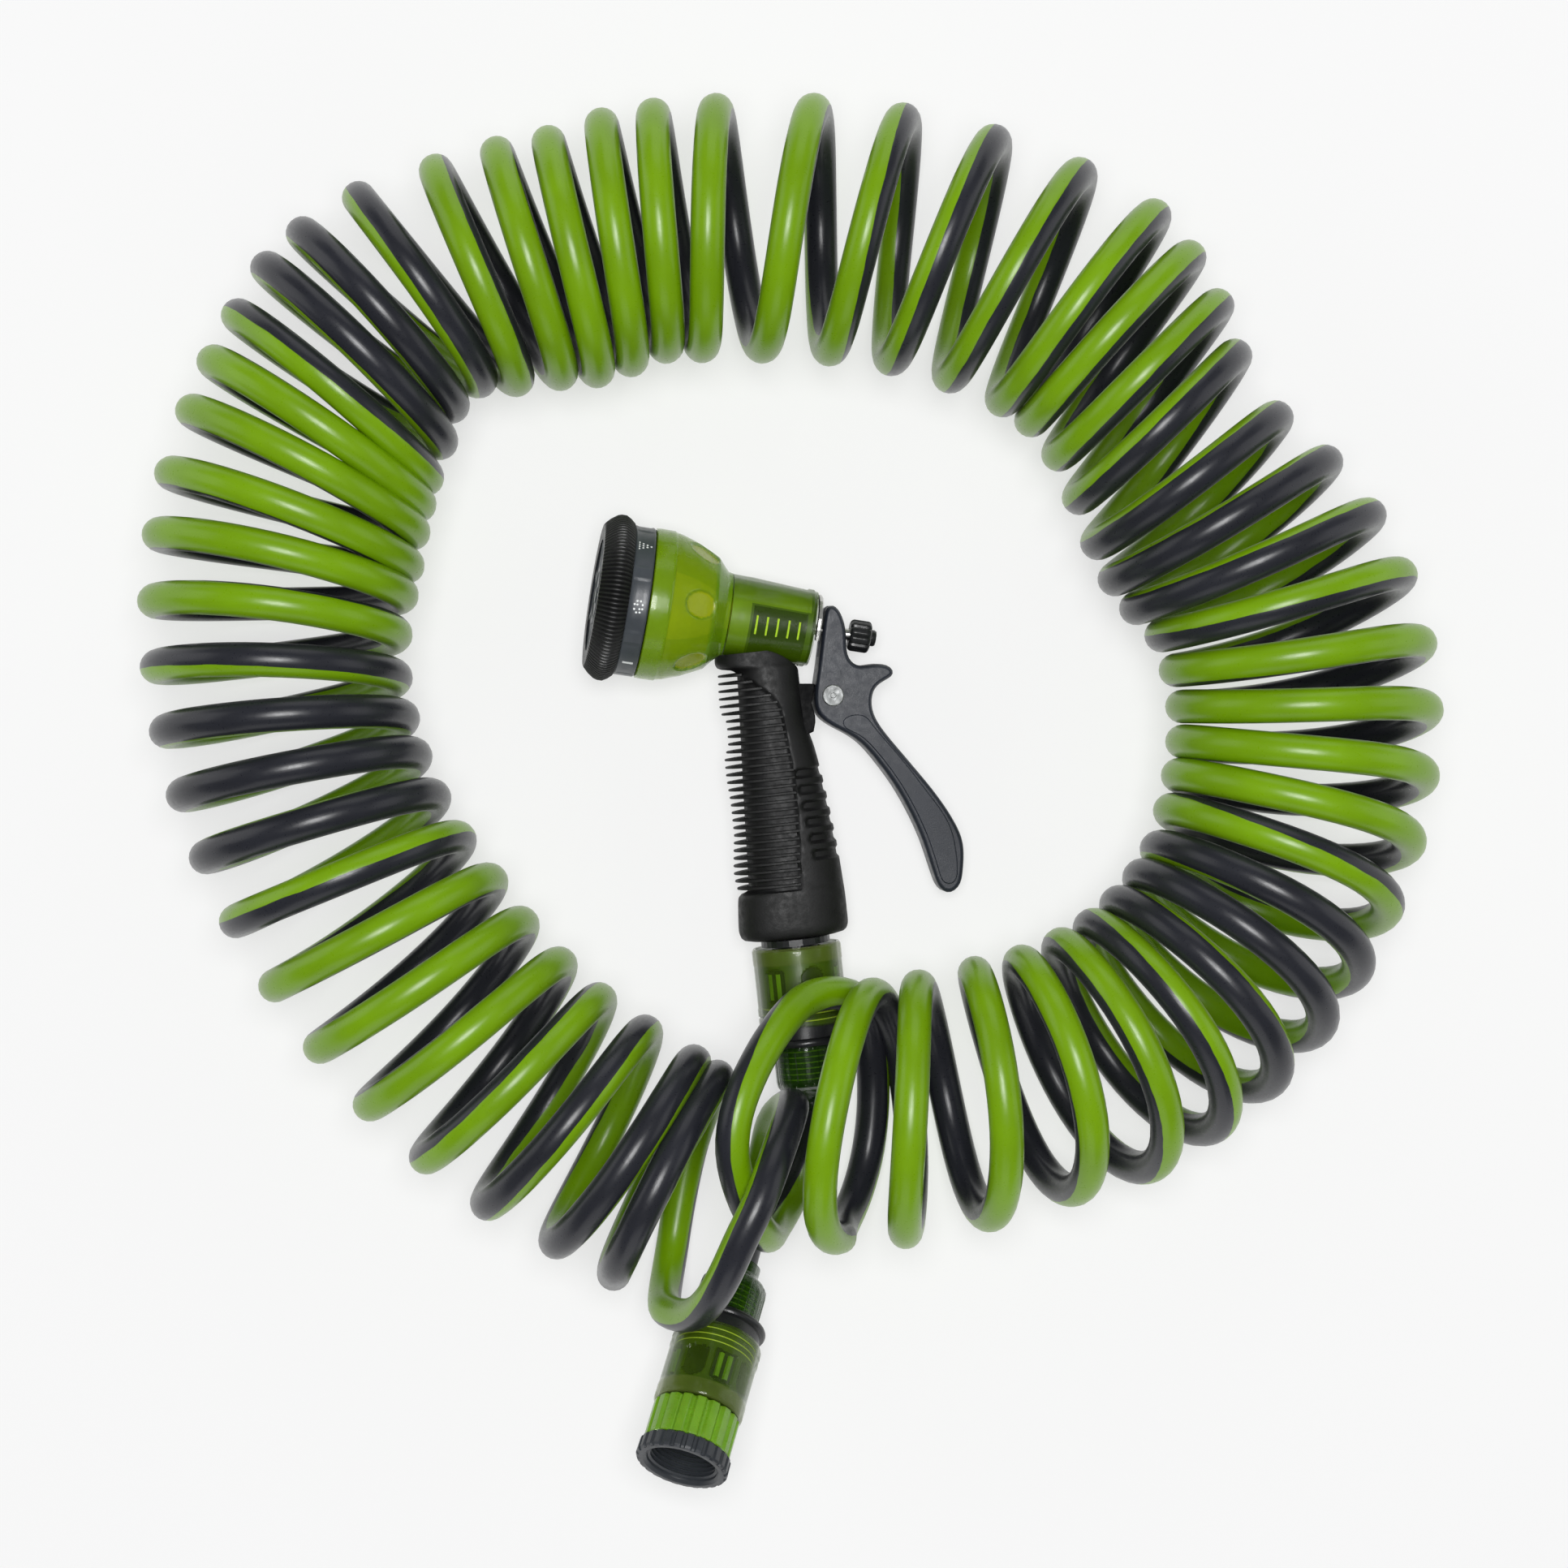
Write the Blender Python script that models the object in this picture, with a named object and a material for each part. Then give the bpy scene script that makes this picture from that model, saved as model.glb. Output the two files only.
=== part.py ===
"""Spiral garden hose with a spray gun, laid as a ring on the floor."""

import math

import bmesh
import bpy
from mathutils import Matrix, Vector

MM = 0.001
GAP = 0.3 * MM
RUNNING_CLEARANCE = 0.4 * MM

# Hose and the ring that its turns make on the floor
HOSE_RADIUS = 6.25 * MM
COIL_RADIUS = 49.8 * MM
COIL_SIDES = 24
COIL_SECTIONS = 56
RING_CENTRE = Vector((-0.75 * MM, 46.3 * MM, 0.0))
RING_HALF_LENGTH = 190.0 * MM
RING_HALF_WIDTH = 163.0 * MM
COIL_START_DEG = 284.0
COIL_END_DEG = 608.0
# How far the coil's centre line bulges out of the ellipse at an angle around it
RING_BULGE = [(268, 4.0), (284, 4.5), (297, 8.5), (312, 13.3), (325, 12.5), (342, 6.5), (358, 0.0),
              (374, -8.0), (383, -17.5), (391, -22.0), (400, -18.0), (411, -5.0), (424, -1.6),
              (448, -1.0), (465, 2.0), (478, 7.0), (488, 16.0), (496, 22.0), (505, 16.0),
              (522, 7.5), (540, 0.0), (560, -3.2), (578, 0.0), (592, 8.0), (603, 16.0), (613, 22.5),
              (622, 28.0)]
FACE_ENTRY_RADIUS = 43.5 * MM
GUN_ENTRY_DEG = 138.0
TAP_ENTRY_DEG = -70.0
FACE_LEAD = 10.0 * MM

# Spray gun: barrel and handle lie in one plane, the head's rim on the floor
BUMPER_RADIUS = 31.3 * MM
BARREL_YAW_DEG = -8.6
BARREL_PITCH_DEG = -6.5
HANDLE_YAW_DEG = -83.9
HANDLE_PITCH_DEG = -2.6
GUN_NUT_EXIT = Vector((8.24 * MM, -119.266 * MM, 0.0))
BUMPER_FRONT = 6.0 * MM
BUMPER_BACK = 5.3 * MM
BUMPER_CREST = 1.2 * MM
BUMPER_ROUND = 1.6 * MM
BUMPER_FACE_STEP = 4.5 * MM
FACE_RECESS = 1.5 * MM
DIAL_RADIUS = 28.2 * MM
DIAL_WALL = 6.7 * MM
DIAL_BORE = DIAL_RADIUS - DIAL_WALL
COLLAR_LENGTH = 7.2 * MM
BELL_LENGTH = 31.0 * MM
BELL_WALL = 2.2 * MM
# Along the bell: share of its length, and how far it has drawn in from the dial's radius
BELL_PROFILE = [(0.0, 0.0), (0.24, 0.5), (0.44, 1.9), (0.67, 4.8), (0.82, 7.1)]
BELL_THROAT = 2.0 * MM
BELL_THROAT_SHARE = 0.91
BARREL_FRONT_RADIUS = 15.9 * MM
BARREL_REAR_RADIUS = 14.0 * MM
BARREL_END = 77.0 * MM
CORE_RADIUS = 11.0 * MM
CORE_BORE = 7.2 * MM
CORE_FRONT = 47.0 * MM
CORE_REAR_WALL = 3.0 * MM
CORE_INSET = 0.5 * MM
PISTON_REST = 2.0 * MM
ROD_RADIUS = 2.2 * MM
PISTON_LENGTH = 5.0 * MM
SPRING_LENGTH = 7.5 * MM
SPRING_RADIUS = 6.0 * MM
CLIP_WIRE_RADIUS = 0.9 * MM
CLIP_INSET = 1.6 * MM
CLIP_START_DEG = -20.0
CLIP_TURN_DEG = 220.0

# Handle: its axis starts under the barrel
HANDLE_START = Vector((60.0 * MM, -14.0 * MM, 0.0))
HANDLE_LENGTH = 105.5 * MM
# Share of the handle's length, then reach to the fins in front, to the back, and half the thickness
GRIP_SECTIONS = [(-0.019, 15.0, 13.0, 12.5), (0.0758, 17.5, 13.0, 13.0), (0.2085, 17.3, 13.3, 13.5),
                 (0.3412, 18.0, 16.2, 14.0), (0.4929, 19.2, 18.6, 14.5), (0.7014, 19.6, 20.8, 15.0),
                 (0.8815, 19.0, 21.8, 15.2), (0.9573, 19.6, 21.8, 15.0), (1.0, 17.5, 18.8, 13.4)]
GRIP_POINTS = 24
GRIP_ROUNDING = 0.8
SEAT_FLARE = 6.0 * MM
SEAT_STEP = 3.5 * MM
SEAT_STEP_PLACE = 6.0 * MM
SEAT_START = 3.0 * MM
CUT_OVERRUN = 20.0 * MM
TAIL_OFFSET = 1.3 * MM

# Trigger: the rivet lies behind the handle, below the barrel
RIVET_PLACE = Vector((87.6 * MM, -23.6 * MM, 0.0))
RIVET_RADIUS = 2.0 * MM
RIVET_HEAD_RADIUS = 4.0 * MM
RIVET_HEAD_HEIGHT = 1.6 * MM
LEVER_THICKNESS = 12.0 * MM
EAR_THICKNESS = 2.2 * MM
EAR_ROUND = 6.0 * MM
BRACKET_BACK = 13.7 * MM
BRACKET_WEB = 2.8 * MM
BRACKET_TOP = 5.0 * MM
BRACKET_FOOT = 22.0 * MM
BRACKET_ARC = (-100.0, 190.0)
LEVER_SPACE_ABOVE = 30.0 * MM
LEVER_SPACE_BELOW = 50.0 * MM
LEVER_SPACE_DEPTH = 40.0 * MM
FORK_SLOT = 2.0 * (ROD_RADIUS + RUNNING_CLEARANCE)
FORK_SLOT_OUTLINE = [(70.0, -11.0), (95.0, -7.6), (95.0, 20.0), (70.0, 20.0)]
LEVER_OUTLINE = [(80.3, 9.0), (81.5, 10.2), (84.0, 9.9), (87.0, 6.2), (89.1, 1.0), (90.5, -6.4),
                 (92.6, -10.0), (96.4, -11.4), (101.0, -9.6), (106.1, -8.9), (109.6, -10.2),
                 (110.4, -12.4), (104.9, -16.2), (102.6, -19.8), (103.3, -26.3), (107.0, -31.9),
                 (121.7, -44.9), (131.8, -53.8), (140.6, -63.2), (145.6, -71.3), (147.2, -83.1),
                 (146.6, -88.1), (142.4, -91.3), (139.2, -89.4), (135.5, -82.8), (129.0, -70.6),
                 (119.1, -56.8), (109.9, -47.1), (99.8, -38.9), (85.7, -33.4), (82.0, -29.0),
                 (81.0, -23.0), (80.8, -13.2)]
KNOB_RADIUS = 6.0 * MM
KNOB_LENGTH = 8.0 * MM
KNOB_START = 91.2 * MM
KNOB_FLUTES = 12
KNOB_FLUTE_DEPTH = 0.8 * MM
ROD_TIP = 2.2 * MM

# Quick connectors: one size, used at both ends of the hose
CONNECTOR_RADIUS = 16.9 * MM
CONNECTOR_WALL = 1.5 * MM
CONNECTOR_COLLAR_LENGTH = 30.0 * MM
CONNECTOR_COLLAR_EDGE = (0.8 * MM, 1.2 * MM)
CONNECTOR_BODY_EDGE = 1.2 * MM
CONNECTOR_BODY_START = 1.0 * MM
CONNECTOR_BODY_LENGTH = 36.5 * MM
CONNECTOR_SOCKET = 8.9 * MM
SOCKET_DEPTH = 17.0 * MM
NUT_RADIUS = 12.7 * MM
NUT_LENGTH = 16.5 * MM
NUT_SHOULDER = 3.0 * MM
NUT_THROAT = 5.0 * MM
NUT_THROAT_RADIUS = 7.9 * MM
NUT_BORE_DEPTH = 6.0 * MM
NUT_LEAD_OUT = 3.0 * MM
NUT_FLUTES = 16
NUT_FLUTE_DEPTH = 0.6 * MM
HOSE_CLEARANCE = 0.6 * MM
TAIL_FLANGE_RADIUS = 13.0 * MM
TAIL_FLANGE_LENGTH = 2.4 * MM
TAIL_NOSE_RADIUS = 8.2 * MM
TAIL_NOSE_LENGTH = 15.0 * MM

# Tap end: the stiff hose holds this connector up
TAP_NUT_ENTRY = Vector((-19.4 * MM, -178.8 * MM, 18.4 * MM))
TAP_YAW_DEG = 252.7
TAP_PITCH_DEG = 33.0
TAP_RING_RADIUS = 16.2 * MM
TAP_RING_LENGTH = 15.5 * MM
TAP_RING_FLUTES = 16
TAP_RING_FLUTE_DEPTH = 0.6 * MM
THREAD_RADIUS = 13.2 * MM
THREAD_DEPTH = 13.5 * MM
THREAD_WALL = 1.4 * MM
TAP_RIM_RADIUS = 17.3 * MM
TAP_RIM_LENGTH = 6.5 * MM
TAP_RIM_RIBS = 20
TAP_RIM_RIB_DEPTH = 0.7 * MM

# Free stretches of the hose, one point after another, in millimetres
GUN_END_ROUTE = [(8.5, -122.0, 15.5), (7.6, -132.0, 12.5), (5.0, -142.0, 10.5), (0.8, -152.0, 12.5),
                 (-4.0, -160.0, 22.0), (-7.5, -164.0, 36.0), (-8.6, -164.3, 50.0),
                 (-11.0, -161.0, 64.0), (-15.0, -153.0, 77.0), (-19.5, -141.0, 84.5),
                 (-22.0, -126.0, 90.0), (-19.0, -111.0, 90.0), (-12.0, -96.0, 82.5),
                 (-3.0, -83.0, 69.0), (5.0, -76.0, 54.5), (13.0, -74.0, 45.0), (22.0, -75.5, 34.5),
                 (27.5, -80.5, 24.0), (30.0, -90.0, 14.0), (31.0, -104.0, 8.0), (31.0, -122.0, 6.8),
                 (28.5, -140.0, 7.5), (23.5, -155.0, 16.0), (18.5, -163.0, 32.0),
                 (17.0, -164.2, 50.0), (17.6, -158.0, 70.0), (18.6, -144.0, 88.0),
                 (19.2, -124.0, 94.0), (20.2, -104.0, 90.0)]
TAP_END_ROUTE = [(-66.5, -151.0, 9.5), (-64.0, -164.0, 20.0), (-65.0, -175.5, 36.0),
                 (-65.7, -177.9, 50.0), (-62.0, -169.0, 78.0), (-52.0, -148.0, 93.0),
                 (-40.0, -125.0, 87.0), (-30.0, -108.0, 66.0), (-27.4, -104.8, 50.0),
                 (-28.2, -107.0, 34.0), (-31.0, -114.0, 18.0), (-35.0, -125.0, 9.0),
                 (-38.8, -137.0, 6.8), (-43.4, -160.0, 6.8), (-45.8, -176.0, 9.5),
                 (-47.5, -186.0, 20.0), (-47.7, -191.0, 34.0), (-46.2, -192.4, 46.0),
                 (-39.5, -192.8, 57.0), (-34.0, -189.5, 70.0), (-28.5, -182.0, 84.0),
                 (-22.5, -170.0, 94.5), (-17.5, -158.0, 98.0), (-11.5, -146.5, 98.0),
                 (-6.0, -132.0, 90.0), (-1.5, -120.5, 74.0), (0.4, -114.8, 58.0),
                 (0.2, -115.2, 48.0), (-2.2, -117.0, 38.5), (-5.0, -120.0, 29.5),
                 (-7.4, -124.0, 20.5), (-8.8, -130.0, 14.0), (-10.2, -138.0, 11.0),
                 (-12.5, -150.0, 10.0), (-15.2, -162.0, 11.5)]
ROUTE_STEP = 14.0 * MM


def clear_scene():
    for item in list(bpy.data.objects):
        bpy.data.objects.remove(item, do_unlink=True)


def material(name, colour, roughness, metallic=0.0):
    made = bpy.data.materials.new(name)
    made.use_nodes = True
    shader = made.node_tree.nodes["Principled BSDF"]
    shader.inputs["Base Color"].default_value = (*colour, 1.0)
    shader.inputs["Roughness"].default_value = roughness
    shader.inputs["Metallic"].default_value = metallic
    return made


def direction(yaw_deg, pitch_deg):
    yaw = math.radians(yaw_deg)
    pitch = math.radians(pitch_deg)
    level = math.cos(pitch)
    return Vector((level * math.cos(yaw), level * math.sin(yaw), math.sin(pitch)))


def axes_matrix(origin, x_axis, y_axis, z_axis):
    turned_axes = Matrix((x_axis, y_axis, z_axis)).transposed().to_4x4()
    return Matrix.Translation(origin) @ turned_axes


def along(matrix, x_axis, start):
    """A frame whose Z runs along one direction of another frame's XY plane."""
    z_axis = (matrix.to_3x3() @ x_axis).normalized()
    side = matrix.to_3x3() @ Vector((0.0, 0.0, 1.0))
    return axes_matrix(matrix @ start, side, z_axis.cross(side), z_axis)


def finish(name, mesh_data, matrix, look, sharp_deg=35.0):
    mesh = bpy.data.meshes.new(name)
    bmesh.ops.recalc_face_normals(mesh_data, faces=mesh_data.faces)
    mesh_data.to_mesh(mesh)
    mesh_data.free()
    mesh.shade_smooth()
    mesh.set_sharp_from_angle(angle=math.radians(sharp_deg))
    mesh.materials.append(look)
    item = bpy.data.objects.new(name, mesh)
    item.matrix_world = matrix
    bpy.context.scene.collection.objects.link(item)
    return item


def skin(mesh_data, rings, closed_around=False):
    """Joins rings of vertices one after another; a ring may be a single vertex."""
    pairs = list(zip(rings, rings[1:]))
    if closed_around:
        pairs.append((rings[-1], rings[0]))
    for first, second in pairs:
        count = max(len(first), len(second))
        for step in range(count):
            after = (step + 1) % count
            corners = []
            for ring, turn in ((first, step), (first, after), (second, after), (second, step)):
                corner = ring[turn] if len(ring) > 1 else ring[0]
                if corner not in corners:
                    corners.append(corner)
            mesh_data.faces.new(corners)


def turned(name, profile, matrix, look, segments=32, flutes=0, flute_depth=0.0, fluted=()):
    """Turns (radius, height) points about Z; a profile that leaves the axis out is a closed ring."""
    mesh_data = bmesh.new()
    rings = []
    for index, (radius, height) in enumerate(profile):
        ring = []
        if radius <= 0.0:
            rings.append([mesh_data.verts.new((0.0, 0.0, height))])
            continue
        for step in range(segments):
            angle = math.tau * (step + 0.5) / segments
            reach = radius
            if flutes and index in fluted:
                reach -= flute_depth * (0.5 + 0.5 * math.cos(flutes * angle))
            ring.append(mesh_data.verts.new((reach * math.cos(angle), reach * math.sin(angle), height)))
        rings.append(ring)
    skin(mesh_data, rings, closed_around=profile[0][0] > 0.0)
    return finish(name, mesh_data, matrix, look)


def extruded(name, outline, low, high, matrix, look):
    mesh_data = bmesh.new()
    rings = []
    for height in (low, high):
        rings.append([mesh_data.verts.new((x, y, height)) for x, y in outline])
    skin(mesh_data, rings)
    mesh_data.faces.new(rings[0])
    mesh_data.faces.new(rings[1])
    return finish(name, mesh_data, matrix, look)


def cutter(name, item):
    item.name = name
    item.display_type = "WIRE"
    item.hide_render = True
    return item


def cut(item, tool, operation="DIFFERENCE"):
    step = item.modifiers.new(tool.name, "BOOLEAN")
    step.operation = operation
    step.solver = "EXACT"
    step.object = tool


def smooth_points(points, step):
    """Points about one step apart on a smooth curve through the given ones."""
    padded = [points[0] * 2.0 - points[1]] + points + [points[-1] * 2.0 - points[-2]]
    result = [points[0].copy()]
    for index in range(1, len(padded) - 2):
        before, start, end, after = padded[index - 1:index + 3]
        parts = max(1, round((end - start).length / step))
        for part in range(1, parts + 1):
            t = part / parts
            bend = (2.0 * before - 5.0 * start + 4.0 * end - after) * t * t
            swing = (3.0 * start - before - 3.0 * end + after) * t * t * t
            result.append(0.5 * (2.0 * start + (end - before) * t + bend + swing))
    return result


def ring_bulge(angle_deg):
    for (low, start), (high, end) in zip(RING_BULGE, RING_BULGE[1:]):
        if angle_deg <= high:
            share = (angle_deg - low) / (high - low)
            ease = share * share * (3.0 - 2.0 * share)
            return (start + (end - start) * ease) * MM
    return RING_BULGE[-1][1] * MM


def ring_frame(angle_deg):
    """Centre, outward direction and running direction of the coil at one angle of the ring."""
    angle = math.radians(angle_deg)
    level = COIL_RADIUS * math.cos(math.pi / COIL_SIDES)
    on_ellipse = Vector((RING_HALF_LENGTH * math.cos(angle), RING_HALF_WIDTH * math.sin(angle), level))
    out = Vector((RING_HALF_WIDTH * math.cos(angle), RING_HALF_LENGTH * math.sin(angle), 0.0)).normalized()
    running = Vector((-out.y, out.x, 0.0))
    return RING_CENTRE + on_ellipse + out * ring_bulge(angle_deg), out, running


def face_entry(angle_deg, around_deg):
    """Where a free stretch meets the coil's end face."""
    centre, out, running = ring_frame(angle_deg)
    around = math.radians(around_deg)
    reach = out * math.cos(around) + Vector((0.0, 0.0, math.sin(around)))
    return centre + reach * FACE_ENTRY_RADIUS, running


def make_coil(look):
    mesh_data = bmesh.new()
    rings = []
    for section in range(COIL_SECTIONS + 1):
        angle = COIL_START_DEG + (COIL_END_DEG - COIL_START_DEG) * section / COIL_SECTIONS
        centre, out, _ = ring_frame(angle)
        ring = []
        for side in range(COIL_SIDES):
            around = math.tau * (side + 0.5) / COIL_SIDES
            reach = out * math.cos(around) + Vector((0.0, 0.0, math.sin(around)))
            ring.append(mesh_data.verts.new(centre + reach * COIL_RADIUS))
        rings.append(ring)
    skin(mesh_data, rings)
    mesh_data.faces.new(rings[0])
    mesh_data.faces.new(rings[-1])
    return finish("hose_coil", mesh_data, Matrix.Identity(4), look)


def make_hose_tube(name, points, look):
    curve = bpy.data.curves.new(name, "CURVE")
    curve.dimensions = "3D"
    curve.bevel_depth = HOSE_RADIUS
    curve.bevel_resolution = 2
    curve.use_fill_caps = True
    curve.twist_mode = "MINIMUM"
    spline = curve.splines.new("POLY")
    spline.points.add(len(points) - 1)
    for point, place in zip(spline.points, points):
        point.co = (*place, 1.0)
    spline.use_smooth = True
    curve.materials.append(look)
    item = bpy.data.objects.new(name, curve)
    bpy.context.scene.collection.objects.link(item)
    return item


def make_free_stretches(gun_exit, tap_exit, look):
    """Each runs from the bottom of its hose nut's bore to the coil's end face."""
    lead = NUT_BORE_DEPTH - GAP
    start = gun_exit @ Vector((0.0, 0.0, -lead))
    straight = gun_exit @ Vector((0.0, 0.0, NUT_LEAD_OUT))
    entry, running = face_entry(COIL_START_DEG, GUN_ENTRY_DEG)
    chosen = [Vector(place) * MM for place in GUN_END_ROUTE]
    ends = [entry - running * FACE_LEAD, entry - running * GAP]
    make_hose_tube("hose_gun_end", smooth_points([start, straight] + chosen + ends, ROUTE_STEP), look)

    start = tap_exit @ Vector((0.0, 0.0, -lead))
    straight = tap_exit @ Vector((0.0, 0.0, NUT_LEAD_OUT))
    entry, running = face_entry(COIL_END_DEG, TAP_ENTRY_DEG)
    chosen = [Vector(place) * MM for place in TAP_END_ROUTE]
    ends = [entry + running * GAP, entry + running * FACE_LEAD]
    make_hose_tube("hose_tap_end", smooth_points(ends + chosen + [straight, start], ROUTE_STEP), look)


def dial_profile(front, back):
    """The bumper's ribbed roll, from its face to its back."""
    crest = BUMPER_RADIUS
    return [(DIAL_BORE, -front), (crest - BUMPER_FACE_STEP, -front), (crest - BUMPER_ROUND, -front * 0.6),
            (crest, -BUMPER_CREST), (crest, BUMPER_CREST), (crest - BUMPER_CREST, back * 0.6),
            (DIAL_RADIUS, back), (DIAL_BORE, back)]


def make_dial(gun, looks):
    barrel = along(gun, Vector((1.0, 0.0, 0.0)), Vector((0.0, 0.0, 0.0)))
    turned("bumper_ring", dial_profile(BUMPER_FRONT, BUMPER_BACK), barrel, looks["rubber"])
    face_radius = DIAL_BORE - GAP
    face_front = FACE_RECESS - BUMPER_FRONT
    face = [(0.0, face_front), (face_radius, face_front), (face_radius, BUMPER_BACK), (0.0, BUMPER_BACK)]
    turned("spray_face", face, barrel, looks["dark"])
    start = BUMPER_BACK + GAP
    end = start + COLLAR_LENGTH
    collar = [(DIAL_BORE, start), (DIAL_RADIUS, start), (DIAL_RADIUS, end), (DIAL_BORE, end)]
    turned("icon_collar", collar, barrel, looks["dark"])
    return end + GAP


def make_shell(gun, bell_start, looks):
    """Bell and barrel in one, open in front, with the valve core's bore behind."""
    barrel = along(gun, Vector((1.0, 0.0, 0.0)), Vector((0.0, 0.0, 0.0)))
    neck = bell_start + BELL_LENGTH
    bore = CORE_RADIUS + GAP
    bell = [(DIAL_RADIUS - drawn * MM, bell_start + BELL_LENGTH * share) for share, drawn in BELL_PROFILE]
    throat = (BARREL_FRONT_RADIUS + BELL_THROAT, bell_start + BELL_LENGTH * BELL_THROAT_SHARE)
    outer = bell + [throat, (BARREL_FRONT_RADIUS, neck), (BARREL_REAR_RADIUS, BARREL_END)]
    inner = [(bore, BARREL_END), (bore, CORE_FRONT), (bore, neck)]
    for radius, place in reversed(bell):
        inner.append((radius - BELL_WALL, place))
    turned("body_shell", outer + inner, barrel, looks["green_clear"])
    return barrel


def make_valve(barrel, looks):
    core_end = BARREL_END - CORE_INSET
    wall = core_end - CORE_REAR_WALL
    hole = ROD_RADIUS + RUNNING_CLEARANCE
    core = [(CORE_RADIUS, CORE_FRONT), (CORE_RADIUS, core_end), (hole, core_end), (hole, wall),
            (CORE_BORE, wall), (CORE_BORE, CORE_FRONT)]
    turned("valve_core", core, barrel, looks["dark"], segments=24)

    spring_end = wall - GAP
    inside = ROD_RADIUS + 2.0 * RUNNING_CLEARANCE
    spring = [(inside, spring_end - SPRING_LENGTH), (SPRING_RADIUS, spring_end - SPRING_LENGTH),
              (SPRING_RADIUS, spring_end), (inside, spring_end)]
    turned("valve_spring", spring, barrel, looks["steel"], segments=20)

    piston = CORE_BORE - RUNNING_CLEARANCE
    front = CORE_FRONT + PISTON_REST
    tip = KNOB_START + KNOB_LENGTH + ROD_TIP
    rod = [(0.0, front), (piston, front), (piston, front + PISTON_LENGTH),
           (ROD_RADIUS, front + PISTON_LENGTH), (ROD_RADIUS, tip), (0.0, tip)]
    turned("valve_rod", rod, barrel, looks["steel"], segments=20)

    bore = ROD_RADIUS + GAP
    end = KNOB_START + KNOB_LENGTH
    knob = [(bore, KNOB_START), (KNOB_RADIUS, KNOB_START), (KNOB_RADIUS, end), (bore, end)]
    turned("flow_knob", knob, barrel, looks["dark"], segments=48, flutes=KNOB_FLUTES,
           flute_depth=KNOB_FLUTE_DEPTH, fluted=(1, 2))


def make_clip(gun, looks):
    """The sprung wire that holds the valve core in, around the barrel's rear end."""
    place = BARREL_END + GAP + CLIP_WIRE_RADIUS
    radius = BARREL_REAR_RADIUS - CLIP_INSET
    points = []
    for step in range(13):
        around = math.radians(CLIP_START_DEG + CLIP_TURN_DEG * step / 12)
        local = Vector((place, radius * math.sin(around), radius * math.cos(around)))
        points.append(gun @ local)
    item = make_hose_tube("wire_clip", points, looks["steel"])
    item.data.bevel_depth = CLIP_WIRE_RADIUS
    item.data.bevel_resolution = 1


def rounded(value):
    return math.copysign(abs(value) ** GRIP_ROUNDING, value)


def make_grip(gun, handle, looks):
    """An oval handle; its fins in front are inside its reach, and the barrel sits in its top."""
    mesh_data = bmesh.new()
    rings = []
    for share, front, back, half in GRIP_SECTIONS:
        middle = (back - front) / 2.0
        reach = (back + front) / 2.0
        ring = []
        for step in range(GRIP_POINTS):
            angle = math.tau * step / GRIP_POINTS
            across = rounded(math.cos(angle)) * reach + middle
            thick = rounded(math.sin(angle)) * half
            ring.append(mesh_data.verts.new((across * MM, -share * HANDLE_LENGTH, thick * MM)))
        rings.append(ring)
    skin(mesh_data, rings)
    mesh_data.faces.new(rings[0])
    mesh_data.faces.new(rings[-1])
    grip = finish("grip", mesh_data, handle, looks["rubber"])

    seat = BARREL_FRONT_RADIUS + GAP
    barrel = along(gun, Vector((1.0, 0.0, 0.0)), Vector((0.0, 0.0, 0.0)))
    low, high = CORE_FRONT - CUT_OVERRUN, BARREL_END + CUT_OVERRUN
    tool = [(0.0, low), (seat + SEAT_FLARE, low), (seat + SEAT_STEP, CORE_FRONT - SEAT_STEP_PLACE),
            (seat, CORE_FRONT - SEAT_START), (seat, high), (0.0, high)]
    cut(grip, cutter("barrel_seat", turned("barrel_seat", tool, barrel, looks["rubber"])))


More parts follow.
